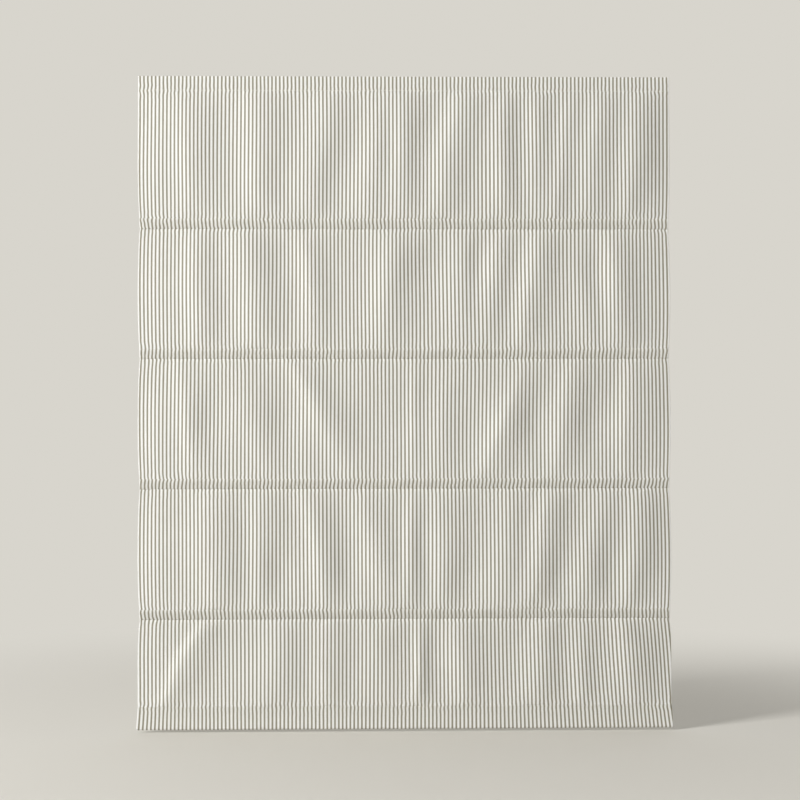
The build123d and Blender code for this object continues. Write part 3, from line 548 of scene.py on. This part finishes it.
class Finish:
    """A Principled material with helpers for textures, colour ramps and relief."""

    def __init__(self, name, colour, roughness, metallic=0.0, map_name=None):
        self.material = bpy.data.materials.new(name)
        self.material.use_nodes = True
        self.nodes = self.material.node_tree.nodes
        self.links = self.material.node_tree.links
        self.shader = self.nodes["Principled BSDF"]
        self.set("Base Color", (*colour, 1.0))
        self.set("Roughness", roughness)
        self.set("Metallic", metallic)
        if map_name:
            source = self.nodes.new("ShaderNodeUVMap")
            source.uv_map = map_name
            self.place = source.outputs["UV"]
        else:
            self.place = self.nodes.new("ShaderNodeTexCoord").outputs["Object"]

    def set(self, socket, value):
        self.shader.inputs[socket].default_value = value

    def node(self, kind, inputs, **settings):
        """A new node: settings are its own options, inputs are plain values or another node's output."""
        made = self.nodes.new(kind)
        for key, value in settings.items():
            setattr(made, key, value)
        for key, value in inputs.items():
            if isinstance(value, bpy.types.NodeSocket):
                self.links.new(value, made.inputs[key])
            else:
                made.inputs[key].default_value = value
        return made

    def stretched(self, scale):
        return self.node("ShaderNodeMapping", {"Vector": self.place, "Scale": scale}).outputs["Vector"]

    def noise(self, scale, detail=2.0, rough=0.5):
        made = self.node("ShaderNodeTexNoise", {"Vector": self.stretched(scale), "Scale": 1.0,
                                                "Detail": detail, "Roughness": rough})
        return made.outputs["Fac"]

    def cells(self, scale):
        made = self.node("ShaderNodeTexVoronoi", {"Vector": self.stretched(scale), "Scale": 1.0})
        return made.outputs["Distance"]

    def math(self, operation, first, second=0.0):
        return self.node("ShaderNodeMath", {0: first, 1: second}, operation=operation).outputs[0]

    def ramp(self, factor, low, high, start=0.0, end=1.0, smooth=False):
        kind = "SMOOTHSTEP" if smooth else "LINEAR"
        made = self.node("ShaderNodeMapRange", {"Value": factor, "From Min": start, "From Max": end,
                                                "To Min": low, "To Max": high}, interpolation_type=kind)
        return made.outputs["Result"]

    def mix(self, factor, first, second):
        first, second = [(*c, 1.0) if isinstance(c, tuple) else c for c in (first, second)]
        inputs = {"Factor": factor, MIX_FIRST: first, MIX_SECOND: second}
        return self.node("ShaderNodeMix", inputs, data_type="RGBA").outputs[MIX_RESULT]

    def join(self, socket, value):
        self.links.new(value, self.shader.inputs[socket])

    def mottle(self, texture, first, second):
        """Let the colour go from the first to the second with a texture."""
        self.join("Base Color", self.mix(texture, first, second))

    def polish(self, texture, glossy, dull):
        """Let the roughness go from glossy to dull with a texture."""
        self.join("Roughness", self.ramp(texture, glossy, dull))

    def relief(self, height, distance, strength=1.0):
        made = self.node("ShaderNodeBump", {"Height": height, "Distance": distance, "Strength": strength})
        self.join("Normal", made.outputs["Normal"])


def grained(name, colour, roughness, spots, depth):
    """A plain finish with an even grain of so many spots in a metre."""
    made = Finish(name, colour, roughness)
    made.relief(made.noise((spots, spots, spots)), distance=depth)
    return made


print("finish kit:", [name for name in vars(Finish) if not name.startswith("_")])

# %% [markdown]
# ## The ticking
# Ticking is a closely woven cotton with dyed warp threads, so its stripes run down the cloth, are
# nearly as broad as the gaps between them and have slightly ragged edges. The pattern reads the cloth's
# own map, in metres, and so it waves with every drift of the weave. Fine slubs along the warp and a
# twill line across it break up the colour.

# %% The striped cloth, face and reverse
STRIPE_PITCH = 0.00875
STRIPE_PHASE = 0.09
STRIPE_SOFT_SHARE = 0.025
DARK_SHARE = 0.216
WARP_PER_METRE = 2300.0
WEFT_PER_METRE = 1700.0
IVORY = (0.885, 0.883, 0.866)
IVORY_SLUB = (0.848, 0.844, 0.818)
TAUPE = (0.262, 0.243, 0.183)
TAUPE_SLUB = (0.338, 0.317, 0.249)
SLUB_PER_METRE = (900.0, 22.0, 1.0)
RAGGED_PER_METRE = (400.0, 500.0, 1.0)
RAGGED_SHARE = 0.03
TWILL_SCALE = 0.5
TWILL_DISTORTION = 0.4
WEAVE_RELIEF = 0.0001
REVERSE_DYE = 0.72


def ticking(name, dye):
    """Striped cotton; dye is how strongly the stripe shows, 1 on the face and less on the reverse."""
    cloth = Finish(name, IVORY, roughness=0.88, map_name="cloth")
    slub = cloth.noise(SLUB_PER_METRE, detail=3.0)
    ragged = cloth.ramp(cloth.noise(RAGGED_PER_METRE), -RAGGED_SHARE, RAGGED_SHARE)
    across = cloth.node("ShaderNodeSeparateXYZ", {"Vector": cloth.place}).outputs["X"]
    turns = cloth.math("ADD", cloth.math("MULTIPLY", across, 1 / STRIPE_PITCH), ragged)
    turns = cloth.math("ADD", turns, STRIPE_PHASE)
    distance = cloth.math("PINGPONG", turns, 0.5)
    low, high = DARK_SHARE - STRIPE_SOFT_SHARE, DARK_SHARE + STRIPE_SOFT_SHARE
    stripe = cloth.ramp(distance, dye, 0.0, low, high, smooth=True)
    pale = cloth.mix(slub, IVORY, IVORY_SLUB)
    dark = cloth.mix(slub, TAUPE, TAUPE_SLUB)
    cloth.mottle(stripe, pale, dark)
    weave = cloth.stretched((WARP_PER_METRE, WEFT_PER_METRE, 1.0))
    wave = {"Vector": weave, "Scale": TWILL_SCALE, "Distortion": TWILL_DISTORTION}
    twill = cloth.node("ShaderNodeTexWave", wave, bands_direction="DIAGONAL").outputs["Fac"]
    cloth.relief(cloth.math("ADD", twill, slub), distance=WEAVE_RELIEF)
    cloth.set("Sheen Weight", 0.12)
    cloth.set("Sheen Roughness", 0.5)
    cloth.set("Specular IOR Level", 0.18)
    return cloth.material


ticking_face = ticking("ticking_face", dye=1.0)
ticking_reverse = ticking("ticking_reverse", dye=REVERSE_DYE)
print("stripes across the blind:", round(2 * HALF_WIDTH / STRIPE_PITCH))

# %% [markdown]
# ## Sewing up the sheets
# Each sheet is a grid laid on the cloth's line and thickened backwards. A panel is cut in two at its
# middle: the upper half stays with the row above it and the lower half with the row below. The bands,
# the header and the hem ride whole.

# %% From a mesh to a piece
CREASE_ANGLE = radians(50)


def new_object(name, bm, *materials):
    mesh = bpy.data.meshes.new(name)
    bm.to_mesh(mesh)
    bm.free()
    for material in materials:
        mesh.materials.append(material)
    mesh.shade_smooth()
    mesh.set_sharp_from_angle(angle=CREASE_ANGLE)
    made = bpy.data.objects.new(name, mesh)
    bpy.context.scene.collection.objects.link(made)
    return made


def stamped(shape, places):
    """A mesh with a copy of a small shape at each of the places, which are matrices."""
    whole = bmesh.new()
    single = bpy.data.meshes.new("stamp")
    for place in places:
        copy = shape.copy()
        bmesh.ops.transform(copy, matrix=place, verts=list(copy.verts))
        copy.to_mesh(single)
        copy.free()
        whole.from_mesh(single)
    bpy.data.meshes.remove(single)
    return whole


print("edges turn sharp past", round(degrees(CREASE_ANGLE)), "degrees")

# %% Grid to sheet
ROW_HEIGHT = 0.0055
FINE_ROW_HEIGHT = 0.0016
FEWEST_ROWS = 4
ROW_EASE = 1.8


def eased(share, fine_end):
    """Rows crowd together towards the end where a sheet meets a seam."""
    if fine_end == "upper":
        return share ** ROW_EASE
    if fine_end == "lower":
        return 1 - (1 - share) ** ROW_EASE
    return share


def sheet_mesh(stretch, upper, lower, fine_end):
    """One sheet between two distances down a stretch: a grid laid on its line, mapped and thickened."""
    line = lines[stretch]
    row_height = ROW_HEIGHT if stretch.startswith("panel") else FINE_ROW_HEIGHT
    columns = column_places(side_hem(stretch))
    rows = max(FEWEST_ROWS, round((lower - upper) / row_height))
    bm = bmesh.new()
    bmesh.ops.create_grid(bm, x_segments=len(columns) - 1, y_segments=rows, size=0.5)
    flat = {}
    for vertex in bm.verts:
        place, across, behind = columns[round((vertex.co.x + 0.5) * (len(columns) - 1))]
        down = upper + (lower - upper) * eased(min(max(0.5 - vertex.co.y, 0.0), 1.0), fine_end)
        point, facing = face_point(stretch, across, down)
        vertex.co = point - facing * behind
        drift = stripe_drift(stretch, across, line.start + down, down / line.length)
        flat[vertex] = (place - drift, -(line.start + down))
    layer = bm.loops.layers.uv.new("cloth")
    for face in bm.faces:
        for loop in face.loops:
            loop[layer].uv = flat[loop.vert]
    bm.normal_update()
    made = bmesh.ops.solidify(bm, geom=list(bm.faces), thickness=CLOTH)["geom"]
    for item in made:
        if isinstance(item, bmesh.types.BMFace):
            item.material_index = 1
    return bm


def hang(name, stretch, upper, lower, body, fine_end=None):
    """Make one sheet, let it ride on its body and hide the frame's solid cloth."""
    piece = new_object(name, sheet_mesh(stretch, upper, lower, fine_end), ticking_face, ticking_reverse)
    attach(piece, body)
    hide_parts("face_fabric")
    return piece


print("rows in a band:", round(lines["band_1"].length / FINE_ROW_HEIGHT))

# %% Header, pocket bands and hem
whole_sheets = [("header", "headrail", "loop_tape"), ("hem", "hem_bar", "bottom_bar")]
whole_sheets += [(f"band_{number}", f"rod_row_{number}", f"rod_{number}") for number in ROD_NUMBERS]
for stretch, body, carrier in whole_sheets:
    fine_end = "lower" if stretch.startswith("band") else None
    hang(f"cloth_{stretch}", stretch, 0.0, lines[stretch].length, body, fine_end)
    print(f"cloth_{stretch} rides on {body}")

# %% [markdown]
# ## Panels cut for folding
# A raised blind stacks its panels in forward folds. Each half panel would flatten towards its own stitch row
# along a slanting direction, chosen so that its free edge takes up the slack and moves forward by the
# fold's depth. Here each half only gets its own mesh, and the share of its length that such a flattening
# keeps is worked out and printed. Both halves are reckoned from where the panel's middle stands on average,
# so the fold would stay closed at every height, give or take a millimetre or two at the highest ridges and
# in the deepest hollows.

# %% How far each row rises
FOLD_DEPTH = 0.020
couplings = {coupling["joint"]: coupling["ratio"] for coupling in frame["record"]["behaviour"]["couplings"]}
slides = {joint["name"]: joint for joint in frame["joints"] if joint["type"] == "slide"}
lift_range = slides["lift"]["range_m"][1]
rise = {"headrail": 0.0}
for name, joint in slides.items():
    rise[joint["child"]] = couplings.get(name, 1.0) * lift_range
print({body: round(height, 4) for body, height in rise.items()})


# %% Upper and lower half panels
RELIEF_SAMPLES = 120
FOLD_BACK = 0.0006


def mean_relief(stretch):
    """How far a panel stands out on average along its middle, where it folds."""
    places = [HALF_WIDTH * (2 * step / RELIEF_SAMPLES - 1) for step in range(RELIEF_SAMPLES + 1)]
    return sum(ridge_depth(stretch, across, 0.5) for across in places) / len(places)


def fold(piece, sewn, free, slack):
    """How much a half panel keeps when flattened towards its sewn edge so that its free edge moves by the slack
    and the fold's depth; the piece only gets its own mesh and is not flattened here.
    """
    shift = Vector((0.0, -FOLD_DEPTH, slack))
    keep = 1 + shift.length_squared / (free - sewn).dot(shift)
    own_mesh(piece)
    return round(keep, 3)


panel_count = len(ROD_NUMBERS) + 1
for number in range(1, panel_count + 1):
    stretch, line = f"panel_{number}", lines[f"panel_{number}"]
    above, carrier = f"rod_row_{number - 1}", f"rod_{number - 1}"
    if number == 1:
        above, carrier = "headrail", "loop_tape"
    below = "hem_bar" if number == panel_count else f"rod_row_{number}"
    half = line.length / 2
    top, middle_point, foot = [Vector((0.0, *line.at(down)[0])) for down in (0.0, half, line.length)]
    middle_point.y -= mean_relief(stretch) - FOLD_BACK
    gap = top.z - foot.z - (rise[below] - rise[above])
    upper_half = hang(f"cloth_{stretch}_upper", stretch, 0.0, half, above, "upper")
    lower_half = hang(f"cloth_{stretch}_lower", stretch, half, line.length, below, "lower")
    kept_above = fold(upper_half, top, middle_point, top.z - middle_point.z - gap / 2)
    kept_below = fold(lower_half, foot, middle_point, gap / 2 - (middle_point.z - foot.z))
    print(f"{stretch}: a fold of {gap:.4f} m when raised, keeping {kept_above} and {kept_below}")

# %% [markdown]
# ## Stitches
# Close up, a row of lockstitches is a row of small thread beads bedded in the cloth. Each is a coarse
# sphere, drawn out along the row and turned a little, so that two thousand of them stay light. They
# show at the header, at the hem and along the top of each pocket band.

# %% Rows of stitches
STITCH_LENGTH = 0.0028
STITCH_WIDTH = 0.0011
STITCH_PITCH = 0.0036
STITCH_INSET = 0.0013
STITCH_SINK = 0.0004
STITCH_MARGIN = 0.004
STITCH_TURN = radians(9)
STRAY_ACROSS = 310.0
STRAY_DOWN = 40.0
STRAY_SPREAD = 9.0
BEAD_SIDES = 6
BEAD_RINGS = 4
thread = Finish("stitch_thread", (0.86, 0.84, 0.76), roughness=0.7)
thread_twist = thread.noise((500.0, 2600.0, 2600.0))
thread.mottle(thread_twist, (0.80, 0.77, 0.68), (0.90, 0.885, 0.82))
thread.relief(thread_twist, distance=0.0001)

bead = bmesh.new()
bmesh.ops.create_uvsphere(bead, u_segments=BEAD_SIDES, v_segments=BEAD_RINGS, radius=0.5)
bmesh.ops.scale(bead, verts=list(bead.verts), vec=(STITCH_LENGTH, STITCH_WIDTH, STITCH_WIDTH))


def stitch_row(name, stretch, down, body, sink):
    """A row of stitches across the cloth at one distance down a stretch, pulled that deep into it."""
    count = int(2 * (HALF_WIDTH - STITCH_MARGIN) / STITCH_PITCH)
    places = []
    for index in range(count + 1):
        across = (index - count / 2) * STITCH_PITCH
        point, facing = face_point(stretch, across, down)
        stray = Vector((across * STRAY_ACROSS, down * STRAY_DOWN, lines[stretch].start * STRAY_SPREAD))
        turn = Matrix.Rotation(STITCH_TURN * noise.noise(stray), 4, "Y")
        places.append(Matrix.Translation(point - facing * sink) @ turn)
    piece = new_object(name, stamped(bead, places), thread.material)
    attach(piece, body)
    return count + 1


stitches = stitch_row("stitches_header", "header", HEADER_HEIGHT - STITCH_INSET, "headrail", 0.0)
stitches += stitch_row("stitches_hem", "hem", STITCH_INSET, "hem_bar", STITCH_SINK)
for number in ROD_NUMBERS:
    band = f"band_{number}"
    stitches += stitch_row(f"stitches_{band}", band, STITCH_INSET, f"rod_row_{number}", STITCH_SINK)
print("stitches in all:", stitches)

# %% [markdown]
# ## Lift cords and rings
# A lift cord is a small twisted rope. Its section has three lobes, and spinning that section while it
# also moves down the cord makes the strands wind round each other. When the blind rises the cord is
# wound up onto its spool; here the hanging part rides on the headrail and keeps its length. Two turns
# stay on each spool, made by the same spin round the shaft.

# %% Twisted lift cords
PLACES = ("left", "centre", "right")
CORD_LOBES = 3
LOBE_POINTS = 5
LOBE_GROOVE_SHARE = 0.16
TWIST_PITCH = 0.0075
STEPS_PER_TWIST = 7
TWISTS_PER_RUN = 8
JOIN_SHARE = 0.01
cord = Finish("cord_braid", (0.82, 0.81, 0.77), roughness=0.75)
cord_fibre = cord.noise((2400.0, 2400.0, 700.0))
cord.mottle(cord_fibre, (0.76, 0.75, 0.70), (0.86, 0.85, 0.82))
cord.relief(cord_fibre, distance=0.00008)


def strand_section(bm, radius):
    """A lobed ring, the section of a twisted cord."""
    ring = bmesh.ops.create_circle(bm, segments=CORD_LOBES * LOBE_POINTS, radius=radius)["verts"]
    for vertex in ring:
        angle = vertex.co.to_2d().angle_signed(Vector((1.0, 0.0)))
        vertex.co *= 1 - LOBE_GROOVE_SHARE * (0.5 - 0.5 * cos(CORD_LOBES * angle))
    return ring


def close_ends(bm):
    """Cap the open ends of a cord and let its faces point outwards."""
    bmesh.ops.holes_fill(bm, edges=list(bm.edges))
    bmesh.ops.recalc_face_normals(bm, faces=list(bm.faces))


cord_low, cord_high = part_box("lift_cord_centre")
cord_length = cord_high.z - cord_low.z
cord_radius = (cord_high.x - cord_low.x) / 2
runs = round(cord_length / (TWISTS_PER_RUN * TWIST_PITCH))
run_length = cord_length / runs
steps = TWISTS_PER_RUN * STEPS_PER_TWIST
run = bmesh.new()
strand_section(run, cord_radius)
bmesh.ops.spin(run, geom=list(run.edges), cent=(0.0, 0.0, 0.0), axis=(0.0, 0.0, 1.0),
               dvec=(0.0, 0.0, -run_length / steps), angle=2 * pi * TWISTS_PER_RUN, steps=steps)
long_cord = stamped(run, [Matrix.Translation((0.0, 0.0, -run_length * index)) for index in range(runs)])
bmesh.ops.remove_doubles(long_cord, verts=list(long_cord.verts), dist=cord_radius * JOIN_SHARE)
close_ends(long_cord)
for place in PLACES:
    bm = long_cord.copy()
    head = middle(f"lift_cord_{place}")
    head.z = cord_high.z
    bmesh.ops.translate(bm, verts=list(bm.verts), vec=head)
    piece = new_object(f"cord_{place}", bm, cord.material)
    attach(piece, "headrail")
    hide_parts(f"lift_cord_{place}")
    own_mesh(piece)
long_cord.free()
print(f"lift cords: {cord_length:.4f} m each, {runs * TWISTS_PER_RUN} twists")

# %% Turns of cord on the spools
TURNS = 2
TURN_STEPS_EACH = 24
TURN_PITCH = 0.0018
shaft = middle("drive_shaft")
for place in PLACES:
    head = middle(f"lift_cord_{place}")
    head.z = cord_high.z
    bm = bmesh.new()
    strand_section(bm, cord_radius)
    bmesh.ops.translate(bm, verts=list(bm.verts), vec=head)
    bmesh.ops.spin(bm, geom=list(bm.edges), cent=shaft, axis=(1.0, 0.0, 0.0),
                   dvec=(-TURN_PITCH / TURN_STEPS_EACH, 0.0, 0.0), angle=-2 * pi * TURNS,
                   steps=TURNS * TURN_STEPS_EACH)
    close_ends(bm)
    piece = new_object(f"cord_turns_{place}", bm, cord.material)
    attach(piece, "lift_shaft")
print("turns on each spool:", TURNS)

# %% Round cord rings
RING_STEPS = 36
RING_SECTION = 14
NYLON_GLOW = 0.15
GLOW_REACH = 0.002
nylon = grained("ring_nylon", (0.80, 0.80, 0.785), roughness=0.33, spots=700.0, depth=0.00002)
nylon.set("Subsurface Weight", NYLON_GLOW)
nylon.set("Subsurface Radius", (GLOW_REACH, GLOW_REACH, GLOW_REACH))
for number in ROD_NUMBERS:
    low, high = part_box(f"cord_rings_{number}")
    wire = (high.z - low.z) / 2
    radius = (high.y - low.y) / 2 - wire
    bm = bmesh.new()
    for place in PLACES:
        centre = Vector((middle(f"lift_cord_{place}").x, (low.y + high.y) / 2, (low.z + high.z) / 2))
        section = bmesh.ops.create_circle(bm, segments=RING_SECTION, radius=wire)["verts"]
        bmesh.ops.rotate(bm, verts=section, cent=(0.0, 0.0, 0.0), matrix=Matrix.Rotation(pi / 2, 3, "X"))
        bmesh.ops.translate(bm, verts=section, vec=centre + Vector((radius, 0.0, 0.0)))
        ring_edges = list({edge for vertex in section for edge in vertex.link_edges})
        bmesh.ops.spin(bm, geom=ring_edges, cent=centre, axis=(0.0, 0.0, 1.0), angle=2 * pi,
                       steps=RING_STEPS, use_merge=True)
    bmesh.ops.recalc_face_normals(bm, faces=list(bm.faces))
    piece = new_object(f"rings_{number}", bm, nylon.material)
    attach(piece, f"rod_row_{number}")
    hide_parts(f"cord_rings_{number}")
print("rings:", len(ROD_NUMBERS) * len(PLACES))

# %% [markdown]
# ## Finishes of the hard parts
# The rail is powder-coated, the brackets are zinc-plated, the shaft and the bar show the lines they
# were drawn with, and the mouldings are plain plastics. Each finish is one line of colour and one or
# two of texture.

# %% Metals
rail = grained("rail_powder", (0.80, 0.795, 0.775), roughness=0.42, spots=900.0, depth=0.00003)

zinc = Finish("bracket_zinc", (0.60, 0.615, 0.63), roughness=0.36, metallic=1.0)
spangle = zinc.cells((260.0, 260.0, 260.0))
zinc.mottle(spangle, (0.52, 0.535, 0.555), (0.70, 0.71, 0.715))
zinc.polish(spangle, glossy=0.28, dull=0.46)

drawn = Finish("shaft_drawn", (0.57, 0.57, 0.575), roughness=0.3, metallic=1.0)
drawn_lines = drawn.noise((6.0, 1500.0, 1500.0), detail=4.0)
drawn.polish(drawn_lines, glossy=0.2, dull=0.42)
drawn.relief(drawn_lines, distance=0.00002)

mill = Finish("bar_mill", (0.74, 0.745, 0.75), roughness=0.38, metallic=1.0)
mill_lines = mill.noise((3.0, 900.0, 900.0), detail=4.0)
mill.mottle(mill_lines, (0.68, 0.685, 0.69), (0.80, 0.80, 0.805))
mill.polish(mill_lines, glossy=0.3, dull=0.5)

spring = Finish("spring_blued", (0.085, 0.10, 0.145), roughness=0.3, metallic=1.0)
temper = spring.noise((40.0, 120.0, 120.0), detail=3.0)
spring.mottle(temper, (0.06, 0.075, 0.12), (0.16, 0.14, 0.13))
print("metals: rail, bracket, shaft, bar and spring")

# %% Plastics, rods and tapes
cap = grained("cap_white", (0.81, 0.81, 0.80), roughness=0.45, spots=1400.0, depth=0.00002)
acetal = grained("spool_acetal", (0.77, 0.77, 0.755), roughness=0.3, spots=500.0, depth=0.00001)

motor = Finish("motor_filled", (0.055, 0.057, 0.06), roughness=0.55)
fill = motor.noise((1800.0, 700.0, 700.0), detail=4.0)
motor.mottle(fill, (0.04, 0.042, 0.045), (0.085, 0.087, 0.09))
motor.relief(fill, distance=0.00003)

fibre = Finish("rod_fibre", (0.78, 0.76, 0.66), roughness=0.34)
strands = fibre.noise((4.0, 2200.0, 2200.0), detail=3.0)
fibre.mottle(strands, (0.70, 0.675, 0.56), (0.84, 0.83, 0.75))

tape = Finish("tape_woven", (0.80, 0.785, 0.725), roughness=0.85)
weave = tape.noise((1300.0, 1300.0, 420.0), detail=3.0)
tape.mottle(weave, (0.72, 0.70, 0.63), (0.86, 0.85, 0.80))
tape.relief(weave, distance=0.00012)

pile = Finish("hook_and_loop", (0.78, 0.775, 0.75), roughness=0.95)
loops = pile.cells((1100.0, 1100.0, 1100.0))
pile.mottle(loops, (0.66, 0.655, 0.63), (0.86, 0.855, 0.835))
pile.relief(loops, distance=0.0004)
print("plastics: cap, spool, motor; and rods, tapes, pile")

# %% Every node gets its finish
FINISHES = {
    "headrail": rail, "mounting_bracket": zinc, "drive_shaft": drawn, "bottom_bar": mill,
    "spring_ribbon": spring, "end_cap": cap, "bar_cap": cap, "rod_tips": cap, "cord_anchors": cap,
    "cord_spool": acetal, "spool_cradle": acetal, "output_drum": acetal, "storage_drum": acetal,
    "cord_rings": nylon, "motor": motor, "pocket_tape": tape, "hook_tape": pile, "loop_tape": pile,
    "lift_cord": cord, "rod_": fibre,
}
for name, node in frame["nodes"].items():
    match = next((finish for start, finish in FINISHES.items() if name.startswith(start)), None)
    node.data.materials.clear()
    node.data.materials.append(match.material if match else ticking_face)
print("finished nodes:", len(frame["nodes"]))

# %% [markdown]
# ## Floor, light and camera
# The floor is a pale disc just below the hem whose colour fades into the pale surround, so no edge
# shows. One large soft lamp stands up on the left, at a level where pale cloth doesn't turn plain
# white. The surround fills in the rest, more from behind than from the front, so that the back of the
# blind is lit as well.

# %% Floor
SURROUND = (0.686, 0.665, 0.610)
FLOOR_DROP = 0.006
FLOOR_RADIUS = 7.0
FLOOR_SIDES = 96
FADE_FROM = 0.7
FADE_TO = 2.4


def looked_at(nodes, links):
    """1 where a surface is seen straight, mirrored or through something, and 0 where light falls on it."""
    rays = nodes.new("ShaderNodeLightPath").outputs
    seen = rays["Is Camera Ray"]
    for ray in ("Is Glossy Ray", "Is Transmission Ray"):
        either = nodes.new("ShaderNodeMath")
        either.operation = "MAXIMUM"
        links.new(seen, either.inputs[0])
        links.new(rays[ray], either.inputs[1])
        seen = either.outputs[0]
    return seen


bm = bmesh.new()
bmesh.ops.create_circle(bm, cap_ends=True, segments=FLOOR_SIDES, radius=FLOOR_RADIUS)
bmesh.ops.translate(bm, verts=list(bm.verts), vec=(0.0, 0.0, cad_low.z - FLOOR_DROP))
ground = Finish("pale_floor", SURROUND, roughness=0.9)
reach = ground.node("ShaderNodeVectorMath", {0: ground.stretched((1.0, 1.0, 0.0))}, operation="LENGTH")
fade = ground.ramp(reach.outputs["Value"], 0.0, 1.0, FADE_FROM, FADE_TO, smooth=True)
fade = ground.math("MULTIPLY", fade, looked_at(ground.nodes, ground.links))
glow = ground.node("ShaderNodeEmission", {"Color": (*SURROUND, 1.0)}).outputs[0]
shown = ground.node("ShaderNodeMixShader", {0: fade, 1: ground.shader.outputs[0], 2: glow}).outputs[0]
ground.links.new(shown, ground.nodes["Material Output"].inputs["Surface"])
floor = new_object("floor", bm, ground.material)
floor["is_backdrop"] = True
print("floor at", round(cad_low.z - FLOOR_DROP, 4), "m")

# %% Lamp
LAMP_PLACE = Vector((-6.5, -4.9, 2.2))
LAMP_WIDTH, LAMP_HEIGHT = 2.4, 3.2
LAMP_POWER = 690.0
aim = (cad_low + cad_high) / 2
lamp_data = bpy.data.lights.new("soft_lamp", "AREA")
lamp_data.shape = "RECTANGLE"
lamp_data.size, lamp_data.size_y = LAMP_WIDTH, LAMP_HEIGHT
lamp_data.energy = LAMP_POWER
lamp = bpy.data.objects.new("soft_lamp", lamp_data)
lamp.location = LAMP_PLACE
lamp.rotation_euler = (aim - LAMP_PLACE).to_track_quat("-Z", "Y").to_euler()
bpy.context.scene.collection.objects.link(lamp)
print("lamp at", tuple(round(value, 2) for value in LAMP_PLACE))

# %% Surround
FILL = 0.38
BACK_FILL = 1.0
FILL_COLOUR = (1.0, 0.99, 0.97)
world = bpy.data.worlds.new("surround")
world.use_nodes = True
bpy.context.scene.world = world
nodes, links = world.node_tree.nodes, world.node_tree.links
nodes["Background"].inputs["Color"].default_value = (*FILL_COLOUR, 1.0)
toward = nodes.new("ShaderNodeSeparateXYZ")
links.new(nodes.new("ShaderNodeTexCoord").outputs["Generated"], toward.inputs[0])
strength = nodes.new("ShaderNodeMapRange")
strength.inputs["To Min"].default_value = FILL
strength.inputs["To Max"].default_value = BACK_FILL
links.new(toward.outputs["Y"], strength.inputs["Value"])
links.new(strength.outputs["Result"], nodes["Background"].inputs["Strength"])
seen = nodes.new("ShaderNodeBackground")
seen.inputs["Color"].default_value = (*SURROUND, 1.0)
chosen = nodes.new("ShaderNodeMixShader")
links.new(looked_at(nodes, links), chosen.inputs[0])
links.new(nodes["Background"].outputs[0], chosen.inputs[1])
links.new(seen.outputs[0], chosen.inputs[2])
links.new(chosen.outputs[0], nodes["World Output"].inputs["Surface"])
print("fill from the front:", FILL, "and from behind:", BACK_FILL)

# %% Camera
CAMERA_PLACE = Vector((-0.1142, -4.2742, -0.7980))
CAMERA_YAW, CAMERA_PITCH, CAMERA_ROLL = radians(1.3862), radians(0.9022), radians(-0.1040)
LENS_MM = 85.0
SENSOR_MM = 36.0
camera_data = bpy.data.cameras.new("camera")
camera_data.lens = LENS_MM
camera_data.sensor_width = SENSOR_MM
camera = bpy.data.objects.new("camera", camera_data)
turn = Matrix.Rotation(-CAMERA_YAW, 4, "Z") @ Matrix.Rotation(pi / 2 + CAMERA_PITCH, 4, "X")
camera.matrix_world = Matrix.Translation(CAMERA_PLACE) @ turn @ Matrix.Rotation(CAMERA_ROLL, 4, "Z")
bpy.context.scene.collection.objects.link(camera)
bpy.context.scene.camera = camera
bpy.context.scene.view_settings.view_transform = "Standard"
print("camera:", LENS_MM, "mm lens")

# %% [markdown]
# ## The size of the dressed blind
# The dressed blind should still fill the box of its solids. Its box is printed.

# %% Size of the dressed blind
low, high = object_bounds()
print("size:", [round(value, 4) for value in high - low])
